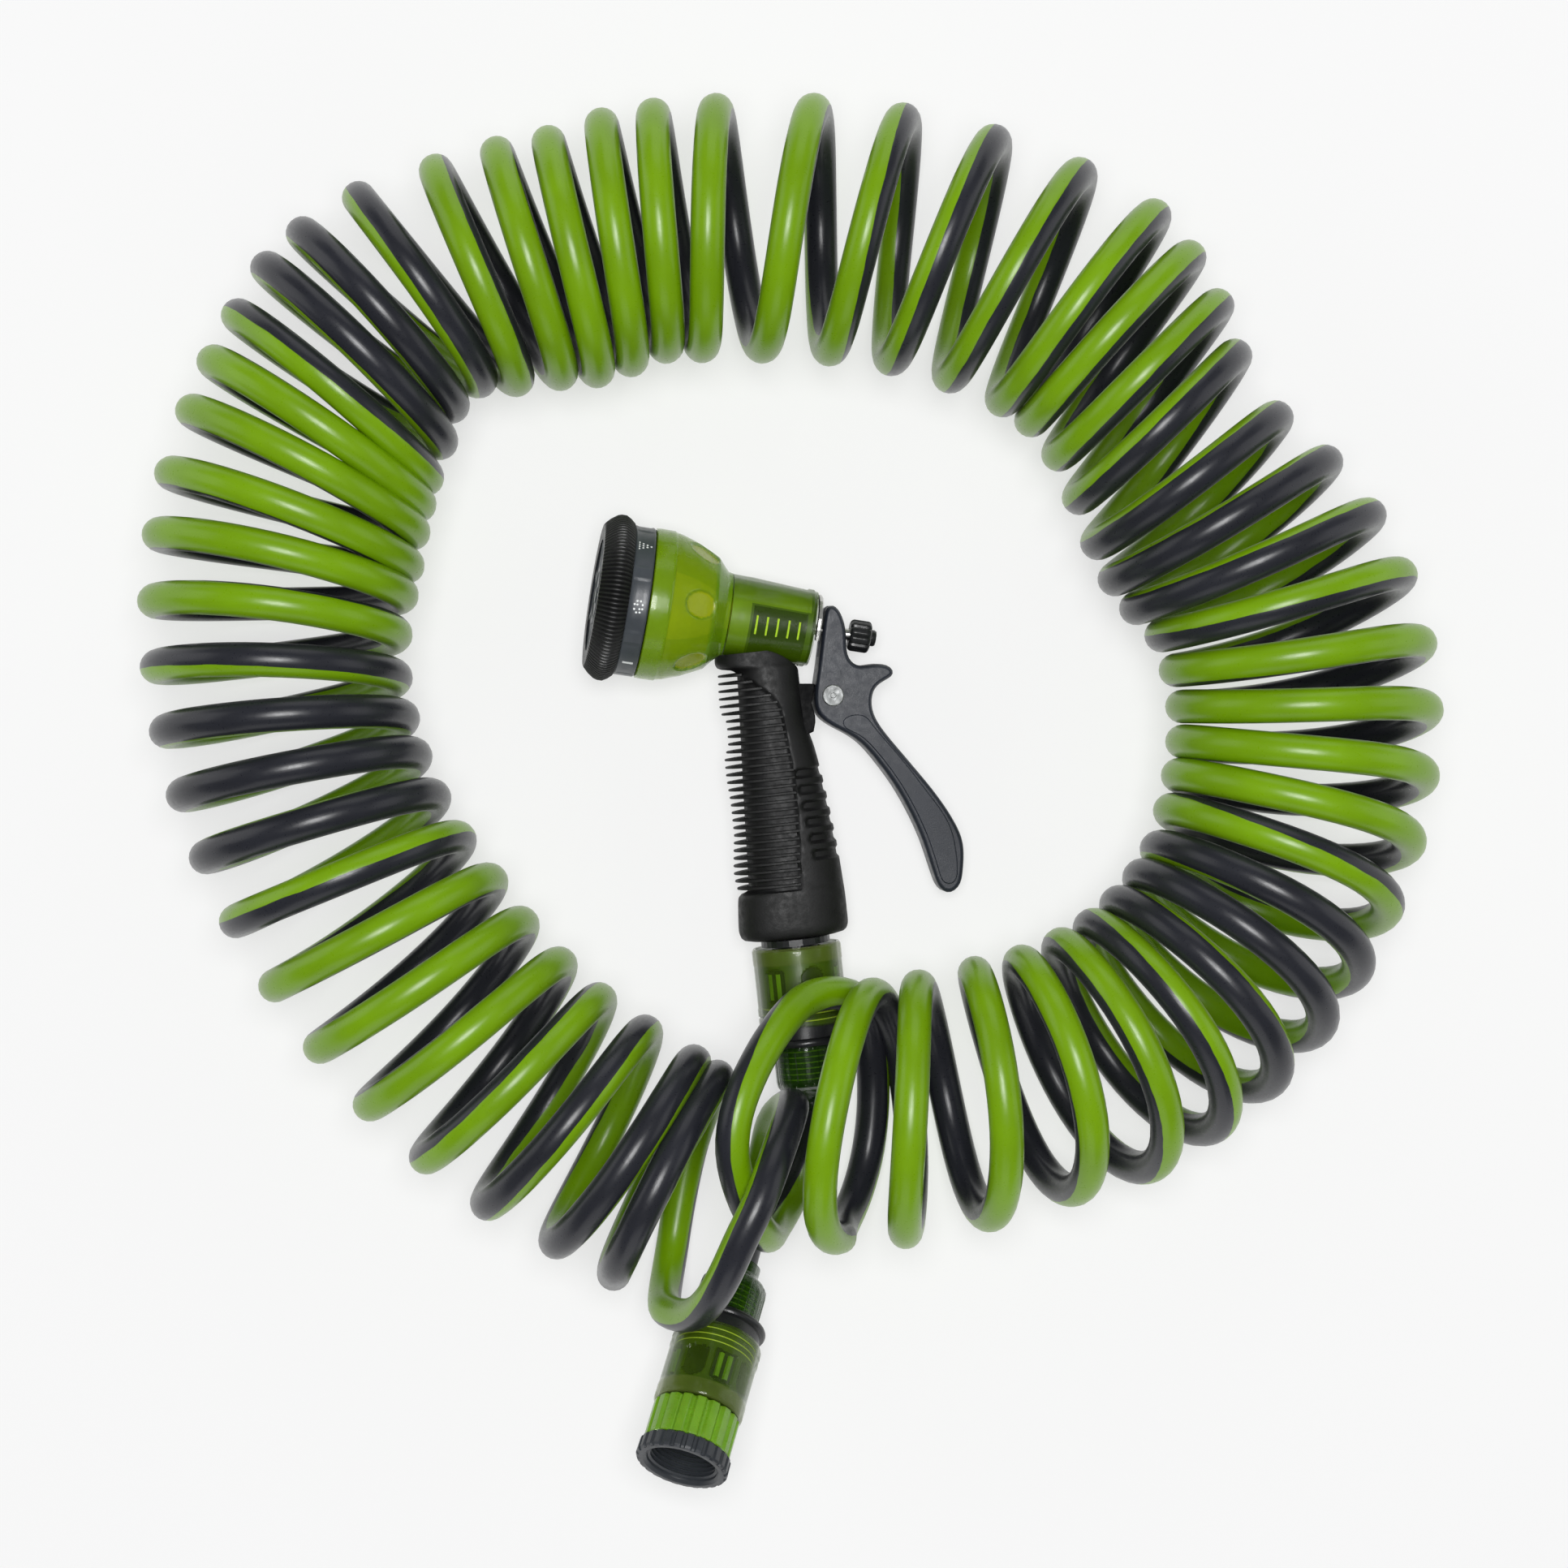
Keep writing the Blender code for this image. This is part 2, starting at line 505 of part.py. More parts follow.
def make_trigger(gun, handle, looks):
    rivet_frame = gun @ Matrix.Translation(RIVET_PLACE)
    half = LEVER_THICKNESS / 2.0
    ear_low = half + GAP
    ear_high = ear_low + EAR_THICKNESS
    bore = RIVET_RADIUS + GAP
    hole = [(0.0, -CUT_OVERRUN), (bore, -CUT_OVERRUN), (bore, CUT_OVERRUN), (0.0, CUT_OVERRUN)]
    hole_tool = cutter("rivet_hole", turned("rivet_hole", hole, rivet_frame, looks["steel"], segments=20))

    outline = [(x * MM - RIVET_PLACE.x, y * MM - RIVET_PLACE.y) for x, y in LEVER_OUTLINE]
    lever = extruded("trigger_lever", outline, -half, half, rivet_frame, looks["dark"])
    cut(lever, hole_tool)
    slot_half = FORK_SLOT / 2.0
    slot = [(x * MM, y * MM) for x, y in FORK_SLOT_OUTLINE]
    slot_tool = cutter("fork_slot", extruded("fork_slot", slot, -slot_half, slot_half, gun, looks["dark"]))
    cut(lever, slot_tool)

    head = ear_high + GAP
    top = head + RIVET_HEAD_HEIGHT
    rivet = [(0.0, -top), (RIVET_HEAD_RADIUS, -top), (RIVET_HEAD_RADIUS, -head), (RIVET_RADIUS, -head),
             (RIVET_RADIUS, head), (RIVET_HEAD_RADIUS, head), (RIVET_HEAD_RADIUS, top), (0.0, top)]
    turned("pivot_rivet", rivet, rivet_frame, looks["steel"], segments=20)

    rivet_spot = handle.inverted() @ rivet_frame.translation
    ear = [(BRACKET_BACK, -BRACKET_TOP), (BRACKET_BACK, -BRACKET_FOOT)]
    for step in range(9):
        around = math.radians(BRACKET_ARC[0] + BRACKET_ARC[1] * step / 8)
        ear.append((rivet_spot.x + EAR_ROUND * math.cos(around), rivet_spot.y + EAR_ROUND * math.sin(around)))
    bracket = extruded("trigger_bracket", ear, -ear_high, ear_high, handle, looks["dark"])
    web = BRACKET_BACK + BRACKET_WEB
    deep = web + LEVER_SPACE_DEPTH
    space = [(web, LEVER_SPACE_ABOVE), (web, -LEVER_SPACE_BELOW), (deep, -LEVER_SPACE_BELOW),
             (deep, LEVER_SPACE_ABOVE)]
    space_tool = extruded("lever_space", space, -ear_low, ear_low, handle, looks["dark"])
    cut(bracket, cutter("lever_space", space_tool))
    cut(bracket, hole_tool)


def make_connector(prefix, frame, looks):
    """Collar, body and hose nut along Z from the coupling's mouth; returns the nut's outer end."""
    collar_bore = CONNECTOR_RADIUS - CONNECTOR_WALL
    inset, rise = CONNECTOR_COLLAR_EDGE
    collar = [(collar_bore, 0.0), (CONNECTOR_RADIUS - inset, 0.0), (CONNECTOR_RADIUS, rise),
              (CONNECTOR_RADIUS, CONNECTOR_COLLAR_LENGTH), (collar_bore, CONNECTOR_COLLAR_LENGTH)]
    turned(prefix + "_collar", collar, frame, looks["green_clear"])

    radius = collar_bore - GAP
    start = CONNECTOR_BODY_START
    end = start + CONNECTOR_BODY_LENGTH
    body = [(0.0, start + SOCKET_DEPTH), (CONNECTOR_SOCKET, start + SOCKET_DEPTH),
            (CONNECTOR_SOCKET, start), (radius, start), (radius, end - CONNECTOR_BODY_EDGE),
            (radius - CONNECTOR_BODY_EDGE, end), (0.0, end)]
    turned(prefix + "_connector", body, frame, looks["dark"])

    nut_start = end + GAP
    shoulder = nut_start + NUT_LENGTH
    throat = shoulder + NUT_SHOULDER
    nut_end = throat + NUT_THROAT
    bore = HOSE_RADIUS + HOSE_CLEARANCE
    nut = [(0.0, nut_start), (NUT_RADIUS, nut_start), (NUT_RADIUS, shoulder),
           (NUT_THROAT_RADIUS, throat), (NUT_THROAT_RADIUS, nut_end), (bore, nut_end),
           (bore, nut_end - NUT_BORE_DEPTH), (0.0, nut_end - NUT_BORE_DEPTH)]
    turned(prefix + "_hose_nut", nut, frame, looks["green_clear"], segments=3 * NUT_FLUTES,
           flutes=NUT_FLUTES, flute_depth=NUT_FLUTE_DEPTH, fluted=(1, 2))
    return nut_end


def connector_length():
    return (CONNECTOR_BODY_START + CONNECTOR_BODY_LENGTH + GAP
            + NUT_LENGTH + NUT_SHOULDER + NUT_THROAT)


def gun_end_length():
    """From the handle's start to the hose nut's outer end."""
    return HANDLE_LENGTH + GAP + TAIL_FLANGE_LENGTH + GAP + connector_length()


def make_gun_end(handle, looks):
    tail_start = HANDLE_LENGTH + GAP
    tail = handle @ Matrix.Translation((TAIL_OFFSET, -tail_start, 0.0)) @ Matrix.Rotation(math.pi / 2, 4, "X")
    mouth = TAIL_FLANGE_LENGTH + GAP
    nose = mouth + TAIL_NOSE_LENGTH
    nipple = [(0.0, 0.0), (TAIL_FLANGE_RADIUS, 0.0), (TAIL_FLANGE_RADIUS, TAIL_FLANGE_LENGTH),
              (TAIL_NOSE_RADIUS, TAIL_FLANGE_LENGTH), (TAIL_NOSE_RADIUS, nose), (0.0, nose)]
    turned("tail_nipple", nipple, tail, looks["dark"])
    frame = tail @ Matrix.Translation((0.0, 0.0, mouth))
    end = make_connector("gun", frame, looks)
    return frame @ Matrix.Translation((0.0, 0.0, end))


def make_tap_end(looks):
    """Built from the threaded mouth's end back to the hose nut, then placed by the nut's hose entry."""
    to_hose = -direction(TAP_YAW_DEG, TAP_PITCH_DEG)
    side = to_hose.cross(Vector((0.0, 0.0, 1.0))).normalized()
    frame = axes_matrix(TAP_NUT_ENTRY - to_hose * connector_length(), side, to_hose.cross(side), to_hose)
    end = make_connector("tap", frame, looks)

    ring_bore = THREAD_RADIUS + THREAD_WALL + RUNNING_CLEARANCE
    ring_start = -GAP
    ring_end = ring_start - TAP_RING_LENGTH
    thread_bottom = ring_end + THREAD_DEPTH - TAP_RIM_LENGTH
    seat = thread_bottom + GAP
    nipple = [(0.0, TAIL_NOSE_LENGTH), (TAIL_NOSE_RADIUS, TAIL_NOSE_LENGTH), (TAIL_NOSE_RADIUS, ring_start),
              (TAP_RING_RADIUS, ring_start), (TAP_RING_RADIUS, ring_end), (ring_bore, ring_end),
              (ring_bore, seat), (0.0, seat)]
    turned("tap_nipple", nipple, frame, looks["green"], segments=4 * TAP_RING_FLUTES,
           flutes=TAP_RING_FLUTES, flute_depth=TAP_RING_FLUTE_DEPTH, fluted=(3, 4))

    rim_start = ring_end - GAP
    rim_end = rim_start - TAP_RIM_LENGTH
    sleeve = THREAD_RADIUS + THREAD_WALL
    nut = [(sleeve, thread_bottom), (sleeve, rim_start), (TAP_RIM_RADIUS, rim_start),
           (TAP_RIM_RADIUS, rim_end), (THREAD_RADIUS, rim_end), (THREAD_RADIUS, thread_bottom)]
    turned("tap_nut", nut, frame, looks["dark"], segments=3 * TAP_RIM_RIBS, flutes=TAP_RIM_RIBS,
           flute_depth=TAP_RIM_RIB_DEPTH, fluted=(2, 3))
    return frame @ Matrix.Translation((0.0, 0.0, end))


def main():
    clear_scene()
    looks = {
        "hose": material("hose", (0.10, 0.42, 0.16), 0.45),
        "green_clear": material("green_clear", (0.02, 0.16, 0.07), 0.2),
        "green": material("green", (0.09, 0.45, 0.14), 0.35),
        "dark": material("dark", (0.035, 0.037, 0.04), 0.45),
        "rubber": material("rubber", (0.015, 0.015, 0.016), 0.7),
        "steel": material("steel", (0.62, 0.62, 0.62), 0.25, 1.0),
    }
    x_axis = direction(BARREL_YAW_DEG, BARREL_PITCH_DEG)
    handle_axis = direction(HANDLE_YAW_DEG, HANDLE_PITCH_DEG)
    z_axis = handle_axis.cross(x_axis).normalized()
    y_axis = z_axis.cross(x_axis)
    tilt = math.radians(BARREL_PITCH_DEG)
    head_height = BUMPER_RADIUS * math.cos(tilt) + BUMPER_CREST * math.sin(abs(tilt))
    handle_side = -handle_axis.cross(z_axis)
    from_head = axes_matrix(Vector(), x_axis, y_axis, z_axis) @ HANDLE_START
    to_exit = from_head + handle_axis * gun_end_length() + handle_side * TAIL_OFFSET
    head = GUN_NUT_EXIT - Vector((to_exit.x, to_exit.y, -head_height))
    gun = axes_matrix(head, x_axis, y_axis, z_axis)
    handle = axes_matrix(gun @ HANDLE_START, handle_side, -handle_axis, z_axis)

    bell_start = make_dial(gun, looks)
    barrel = make_shell(gun, bell_start, looks)
    make_valve(barrel, looks)
    make_clip(gun, looks)
    make_grip(gun, handle, looks)
    make_trigger(gun, handle, looks)
    gun_exit = make_gun_end(handle, looks)
    tap_exit = make_tap_end(looks)
    make_coil(looks["hose"])
    make_free_stretches(gun_exit, tap_exit, looks["hose"])


main()
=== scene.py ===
import math

import bmesh
import bpy
from mathutils import Matrix, Vector


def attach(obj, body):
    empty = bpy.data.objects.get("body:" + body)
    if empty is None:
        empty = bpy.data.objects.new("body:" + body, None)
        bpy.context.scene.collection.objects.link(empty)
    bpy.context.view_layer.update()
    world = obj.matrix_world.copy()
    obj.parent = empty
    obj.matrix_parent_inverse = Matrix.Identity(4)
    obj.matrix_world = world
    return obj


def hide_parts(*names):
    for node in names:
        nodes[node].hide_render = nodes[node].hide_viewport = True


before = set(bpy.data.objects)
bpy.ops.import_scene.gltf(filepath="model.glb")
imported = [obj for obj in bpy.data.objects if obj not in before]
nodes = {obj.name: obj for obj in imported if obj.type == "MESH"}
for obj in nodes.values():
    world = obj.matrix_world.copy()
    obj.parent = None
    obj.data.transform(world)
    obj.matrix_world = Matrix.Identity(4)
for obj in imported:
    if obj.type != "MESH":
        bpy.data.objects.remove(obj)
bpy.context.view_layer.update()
mm = 0.001
print("frame loaded:", len(nodes), "nodes")


def addObject(name, data):
    item = bpy.data.objects.new(name, data)
    bpy.context.scene.collection.objects.link(item)
    return item


# Camera: straight above the ring, as in the photograph

camera = {
    "place": (-0.00285, 0.00315, 1.550),
    "widthAtRing": 0.5796,      # what the picture spans at the coil's middle height
    "ringHeight": 0.050,
    "sensor": 36.0,
}


def makeCamera():
    data = bpy.data.cameras.new("camera")
    data.sensor_width = camera["sensor"]
    away = camera["place"][2] - camera["ringHeight"]
    data.lens = camera["sensor"] * away / camera["widthAtRing"]
    item = addObject("camera", data)
    item.location = camera["place"]
    bpy.context.scene.camera = item
    print("camera: lens", round(data.lens, 1))


# Helpers for materials

def newLook(name, **values):
    look = bpy.data.materials.new(name)
    look.use_nodes = True
    tree = look.node_tree
    shader = tree.nodes["Principled BSDF"]
    for socket, value in values.items():
        shader.inputs[socket.replace("_", " ")].default_value = value
    return look, tree, shader


def addNode(tree, kind, **values):
    node = tree.nodes.new(kind)
    for name, value in values.items():
        setattr(node, name, value)
    return node


def objectPlace(tree):
    return addNode(tree, "ShaderNodeTexCoord").outputs["Object"]


def noiseOn(tree, vector, scale, detail=3.0, roughness=0.5):
    noise = addNode(tree, "ShaderNodeTexNoise")
    noise.inputs["Scale"].default_value = scale
    noise.inputs["Detail"].default_value = detail
    noise.inputs["Roughness"].default_value = roughness
    tree.links.new(vector, noise.inputs["Vector"])
    return noise.outputs["Fac"]


def rampOn(tree, value, stops):
    ramp = addNode(tree, "ShaderNodeValToRGB")
    elements = ramp.color_ramp.elements
    while len(elements) < len(stops):
        elements.new(0.5)
    for element, (place, tone) in zip(elements, stops):
        element.position = place
        element.color = (*tone, 1.0) if hasattr(tone, "__len__") else (tone, tone, tone, 1.0)
    tree.links.new(value, ramp.inputs["Fac"])
    return ramp.outputs["Color"]


def mixOn(tree, share, first, second):
    mix = addNode(tree, "ShaderNodeMix", data_type="RGBA")
    for value, socket in ((share, mix.inputs[0]), (first, mix.inputs[6]), (second, mix.inputs[7])):
        if isinstance(value, (int, float)):
            socket.default_value = value
        elif isinstance(value, tuple):
            socket.default_value = (*value, 1.0)
        else:
            tree.links.new(value, socket)
    return mix.outputs[2]


def mathOn(tree, operation, first, second=0.0):
    node = addNode(tree, "ShaderNodeMath", operation=operation)
    for value, socket in ((first, node.inputs[0]), (second, node.inputs[1])):
        if isinstance(value, (int, float)):
            socket.default_value = value
        else:
            tree.links.new(value, socket)
    return node.outputs[0]


def bumpOn(tree, shader, height, strength, distance):
    bump = addNode(tree, "ShaderNodeBump")
    bump.inputs["Strength"].default_value = strength
    bump.inputs["Distance"].default_value = distance
    tree.links.new(height, bump.inputs["Height"])
    tree.links.new(bump.outputs["Normal"], shader.inputs["Normal"])


def mouldedLook(name, tone, rough, grain, depth, spread=0.25, **values):
    # Moulded plastic or rubber: tone wanders a little, the skin is grained, dust dulls it here and there
    look, tree, shader = newLook(name, **values)
    place = objectPlace(tree)
    broad = noiseOn(tree, place, 90.0, 4.0)
    low = tuple(part * (1.0 - spread) for part in tone)
    high = tuple(min(1.0, part * (1.0 + spread)) for part in tone)
    tree.links.new(rampOn(tree, broad, [(0.3, low), (0.7, high)]), shader.inputs["Base Color"])
    worn = noiseOn(tree, place, 420.0, 5.0, 0.6)
    tree.links.new(rampOn(tree, worn, [(0.35, rough * 0.85), (0.7, min(1.0, rough * 1.25))]),
                   shader.inputs["Roughness"])
    bumpOn(tree, shader, noiseOn(tree, place, grain, 2.0), 0.5, depth)
    return look


# Curves through given values

def between(knots, place, column=1):
    # Smooth value at a place in a table whose first column rises
    at = [knot[0] for knot in knots]
    value = [knot[column] for knot in knots]
    last = len(knots) - 1
    i = 0
    while i < last - 1 and place > at[i + 1]:
        i += 1

    def slope(j):
        if j in (0, last):
            return (value[min(j + 1, last)] - value[max(j - 1, 0)]) / (at[min(j + 1, last)] - at[max(j - 1, 0)])
        before = (value[j] - value[j - 1]) / (at[j] - at[j - 1])
        after = (value[j + 1] - value[j]) / (at[j + 1] - at[j])
        if before * after <= 0.0:
            return 0.0
        return 2.0 * before * after / (before + after) if abs(before - after) > 1e-9 else before

    width = at[i + 1] - at[i]
    t = max(0.0, min(1.0, (place - at[i]) / width))
    rise = value[i + 1] - value[i]
    start, end = slope(i) * width, slope(i + 1) * width
    return value[i] + t * start + t * t * (3 * rise - 2 * start - end) + t * t * t * (start + end - 2 * rise)


def flowThrough(points, step):
    # Points about one step apart on a smooth curve through the given ones
    spots = [Vector(point) for point in points]
    out = []
    for i in range(len(spots) - 1):
        before, start = spots[max(i - 1, 0)], spots[i]
        end, after = spots[i + 1], spots[min(i + 2, len(spots) - 1)]
        reach = (end - start).length
        leave = (end - before).normalized() * reach
        arrive = (after - start).normalized() * reach
        count = max(1, round(reach / step))
        for k in range(count):
            t = k / count
            out.append(start * (2 * t ** 3 - 3 * t ** 2 + 1) + leave * (t ** 3 - 2 * t ** 2 + t)
                       + end * (3 * t ** 2 - 2 * t ** 3) + arrive * (t ** 3 - t ** 2))
    out.append(spots[-1])
    for _ in range(3):
        for i in range(1, len(out) - 1):
            out[i] = out[i] * 0.5 + (out[i - 1] + out[i + 1]) * 0.25
    return out


# Hose: one tube, wound turn after turn around the ring

hose = {
    "radius": 6.25 * mm,
    "length": 15.0,
    "sides": 20,
    "ringsPerTurn": 48,
    "stretchStep": 4.5 * mm,     # between rings on the uncoiled stretches
    "centre": (-0.75 * mm, 46.35 * mm),
    "halfLength": 190.0 * mm,
    "halfWidth": 163.0 * mm,
    "level": 50.0 * mm,          # height of the coil's centre line
    "turnHeight": 43.7 * mm,
    "firstTurn": 2,
    "green": (0.178, 0.350, 0.001),
    "dark": (0.017, 0.018, 0.024),
}

# Where each turn's outer tip and inner tip stand around the ring, in degrees, from the second turn on
outerTips = [274.6, 280.7, 288.3, 296.3, 303.4, 310.1, 316.5, 323.0, 329.25, 335.7, 342.4, 349.0, 355.5,
             362.1, 369.2, 376.0, 383.0, 389.9, 398.1, 403.2, 408.5, 413.6, 421.7, 430.4, 439.2, 447.6,
             456.75, 462.6, 467.5, 472.7, 477.5, 483.2, 490.4, 496.3, 500.7, 505.6, 510.3, 515.2, 521.3,
             527.2, 533.6, 540.05, 546.5, 553.1, 559.75, 566.8, 574.2, 581.5, 588.6, 595.6, 602.4,
             609.25, 614.9]
innerTips = [281.1, 287.8, 295.7, 302.2, 308.2, 313.4, 318.4, 323.6, 328.6, 334.7, 340.5, 346.3, 352.6,
             359.4, 366.5, 373.2, 380.8, 389.1, 398.2, 406.1, 413.0, 418.4, 426.7, 435.4, 444.25, 453.4,
             461.75, 466.8, 472.0, 477.1, 482.0, 487.5, 491.4, 496.5, 501.3, 506.75, 510.9, 515.3,
             520.9, 526.3, 533.6, 541.75, 549.5, 557.0, 565.3, 573.8, 582.4, 590.3, 598.0, 604.9,
             611.75, 618.4]
# Turn, and how far its outer and inner tips lie out of the ring's ellipse, in millimetres
tipReach = [(2, 48.3, -39.9), (4, 49.8, -38.1), (5, 51.3, -34.8), (6, 56.1, -31.8), (8, 56.7, -29.7),
            (10, 54.0, -30.9), (12, 50.1, -36.9), (15, 42.9, -45.3), (17, 33.3, -54.3), (18, 26.1, -62.1),
            (19, 18.3, -63.0), (20, 20.4, -60.0), (21, 28.8, -53.7), (22, 36.0, -48.0), (23, 41.4, -45.3),
            (27, 42.6, -44.7), (30, 46.2, -38.1), (31, 45.9, -40.8), (32, 49.2, -35.7), (33, 53.4, -31.5),
            (34, 60.3, -23.1), (35, 63.3, -18.0), (36, 63.3, -23.7), (37, 60.0, -29.4), (39, 54.6, -36.3),
            (41, 49.2, -42.3), (43, 43.5, -43.8), (46, 39.6, -45.9), (48, 41.7, -44.4), (50, 48.9, -35.4),
            (52, 58.5, -24.0), (53, 62.7, -18.0), (54, 68.7, -10.5)]
# Turn, and how many degrees of the ring its upper strand leads by
topLead = [(2, -4.5), (3, -2.0), (4, 0.8), (5, 2.0), (6, 3.0), (10, 3.0), (12, 1.8), (15, 0.6), (20, 0.0),
           (45, -1.2), (54, 0.0)]
# Turn, and which way the green half faces: 0 out of the coil, 90 onwards around the ring
greenFacing = [(2, 5), (4, 0), (5, 20), (6, 45), (7, 78), (8, 127), (9, 160), (10, 185), (11, 264),
               (12, 350), (14, 365), (15, 375), (16, 426), (17, 480), (18, 503), (19, 494), (20, 477),
               (21, 438), (22, 413), (24, 438), (25, 461), (26, 444), (27, 380), (28, 360), (31, 365),
               (33, 397), (34, 461), (35, 507), (36, 507), (37, 458), (38, 385), (39, 345), (40, 330),
               (42, 370), (43, 456), (44, 509), (46, 555), (47, 606), (48, 695), (49, 720), (50, 730),
               (51, 765), (52, 821), (53, 863), (54, 880)]

# The stretches from the two hose nuts to the coil's first and last turn, in metres
gunStretch = [(0.007635, -0.113604, 0.01658), (0.00824, -0.11927, 0.01632), (0.0085, -0.122, 0.0155),
              (0.0076, -0.132, 0.0125), (0.005, -0.142, 0.0105), (0.0008, -0.152, 0.0125),
              (-0.004, -0.160, 0.022), (-0.0075, -0.164, 0.036), (-0.0086, -0.1643, 0.050),
              (-0.011, -0.161, 0.064), (-0.015, -0.153, 0.077), (-0.0195, -0.141, 0.0845),
              (-0.022, -0.126, 0.090), (-0.019, -0.111, 0.090), (-0.012, -0.096, 0.0825),
              (-0.003, -0.083, 0.069), (0.005, -0.076, 0.0545), (0.013, -0.074, 0.045),
              (0.022, -0.0755, 0.0345), (0.0275, -0.0805, 0.024), (0.030, -0.090, 0.014),
              (0.031, -0.104, 0.008), (0.031, -0.122, 0.0068), (0.0285, -0.140, 0.0075),
              (0.0235, -0.155, 0.016), (0.0185, -0.163, 0.032)]
tapStretch = [(-0.062, -0.169, 0.078), (-0.052, -0.148, 0.093), (-0.040, -0.125, 0.087),
              (-0.030, -0.108, 0.066), (-0.0274, -0.1048, 0.050), (-0.0282, -0.107, 0.034),
              (-0.031, -0.114, 0.018), (-0.035, -0.125, 0.009), (-0.0388, -0.137, 0.0068),
              (-0.0434, -0.160, 0.0068), (-0.0458, -0.176, 0.0095), (-0.0475, -0.186, 0.020),
              (-0.0477, -0.191, 0.034), (-0.0462, -0.1924, 0.046), (-0.0395, -0.1928, 0.057),
              (-0.034, -0.1895, 0.070), (-0.0285, -0.182, 0.084), (-0.0225, -0.170, 0.0945),
              (-0.0175, -0.158, 0.098), (-0.0115, -0.1465, 0.098), (-0.006, -0.132, 0.090),
              (-0.0015, -0.1205, 0.074), (0.0004, -0.1148, 0.058), (0.0002, -0.1152, 0.048),
              (-0.0022, -0.117, 0.0385), (-0.005, -0.120, 0.0295), (-0.0074, -0.124, 0.0205),
              (-0.0088, -0.130, 0.014), (-0.0102, -0.138, 0.011), (-0.0125, -0.150, 0.010),
              (-0.0152, -0.162, 0.0115), (-0.01865, -0.1764, 0.01677), (-0.0194, -0.1788, 0.0184),
              (-0.02082, -0.18336, 0.0215)]
# Share of each stretch, and which way the green half faces there
gunFacing = [(0.0, 75), (0.2, 92), (0.42, 80), (0.62, 50), (1.0, 5)]
tapFacing = [(0.0, 880), (0.12, 880), (0.4, 922), (0.6, 934), (1.0, 950)]


def ringSpot(angle, reach):
    # A point that far out of the ring's ellipse, at the height of the coil's centre line
    a = math.radians(angle)
    out = Vector((math.cos(a) * hose["halfWidth"], math.sin(a) * hose["halfLength"], 0.0)).normalized()
    base = Vector((hose["centre"][0] + hose["halfLength"] * math.cos(a),
                   hose["centre"][1] + hose["halfWidth"] * math.sin(a), hose["level"]))
    return base + out * reach


def coilPath():
    # Hose centre, the coil's own centre beside it, and where the green half faces, ring by ring
    first = hose["firstTurn"]
    outer = [(first + i, tip) for i, tip in enumerate(outerTips)]
    swing = [(first + i + 0.5, tip - (outerTips[i] + outerTips[i + 1]) / 2) for i, tip in enumerate(innerTips)]
    rows = []
    perTurn = hose["ringsPerTurn"]
    for k in range((len(outerTips) - 1) * perTurn + 1):
        turn = first + k / perTurn
        theta = math.tau * (k % perTurn) / perTurn
        angle = (between(outer, turn) + between(swing, turn) * (1 - math.cos(theta)) / 2
                 + between(topLead, turn) * math.sin(theta))
        far, near = between(tipReach, turn, 1) * mm, between(tipReach, turn, 2) * mm
        middle, half = (far + near) / 2, (far - near) / 2
        place = ringSpot(angle, middle + half * math.cos(theta))
        place.z += hose["turnHeight"] * math.sin(theta)
        rows.append((place, ringSpot(angle, middle), between(greenFacing, turn)))
    return rows


def stretchPath(points, facing, core):
    rows = []
    route = flowThrough(points, hose["stretchStep"])
    for k, place in enumerate(route):
        rows.append((place, Vector((place.x, core[1], core[2])), between(facing, k / (len(route) - 1))))
    return rows


def makeHose(fittings):
    coil = coilPath()
    lead = stretchPath(gunStretch + [tuple(coil[0][0])], gunFacing, (0, -0.118, 0.050))[:-1]
    tail = stretchPath([tuple(coil[-1][0])] + tapStretch, tapFacing, (0, -0.141, 0.050))[1:]
    rows = lead + coil + tail
    path = [row[0] for row in rows]
    mesh = bmesh.new()
    uv = mesh.loops.layers.uv.new("around")
    sides, radius = hose["sides"], hose["radius"]
    rings, along = [], [0.0]
    for k in range(1, len(path)):
        along.append(along[-1] + (path[k] - path[k - 1]).length)
    for k, (place, core, facing) in enumerate(rows):
        ahead = (path[min(k + 1, len(path) - 1)] - path[max(k - 1, 0)]).normalized()
        away = place - core
        away = (away - ahead * away.dot(ahead)).normalized()
        onward = ahead.cross(away)
        ring = []
        for j in range(sides):
            beta = math.radians(facing) + math.tau * j / sides
            ring.append(mesh.verts.new(place + (away * math.cos(beta) + onward * math.sin(beta)) * radius))
        rings.append(ring)
    for k in range(len(rings) - 1):
        for j in range(sides):
            n = (j + 1) % sides
            face = mesh.faces.new((rings[k][j], rings[k][n], rings[k + 1][n], rings[k + 1][j]))
            face.smooth = True
            for loop, (u, v) in zip(face.loops, ((k, j), (k, j + 1), (k + 1, j + 1), (k + 1, j))):
                loop[uv].uv = (along[u], v / sides)
    for ring in (rings[0], rings[-1]):
        cap = mesh.faces.new(ring)
        for loop in cap.loops:
            loop[uv].uv = (0.0, 0.0)
    bmesh.ops.recalc_face_normals(mesh, faces=mesh.faces)
    data = bpy.data.meshes.new("hose_tube")
    mesh.to_mesh(data)
    mesh.free()
    piece = addObject("hose_tube", data)
    data.materials.append(hoseLook())
    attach(piece, "hose")
    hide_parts("hose_coil", "hose_gun_end", "hose_tap_end")
    print("hose:", len(rings), "rings,", round(along[-1], 3), "m")


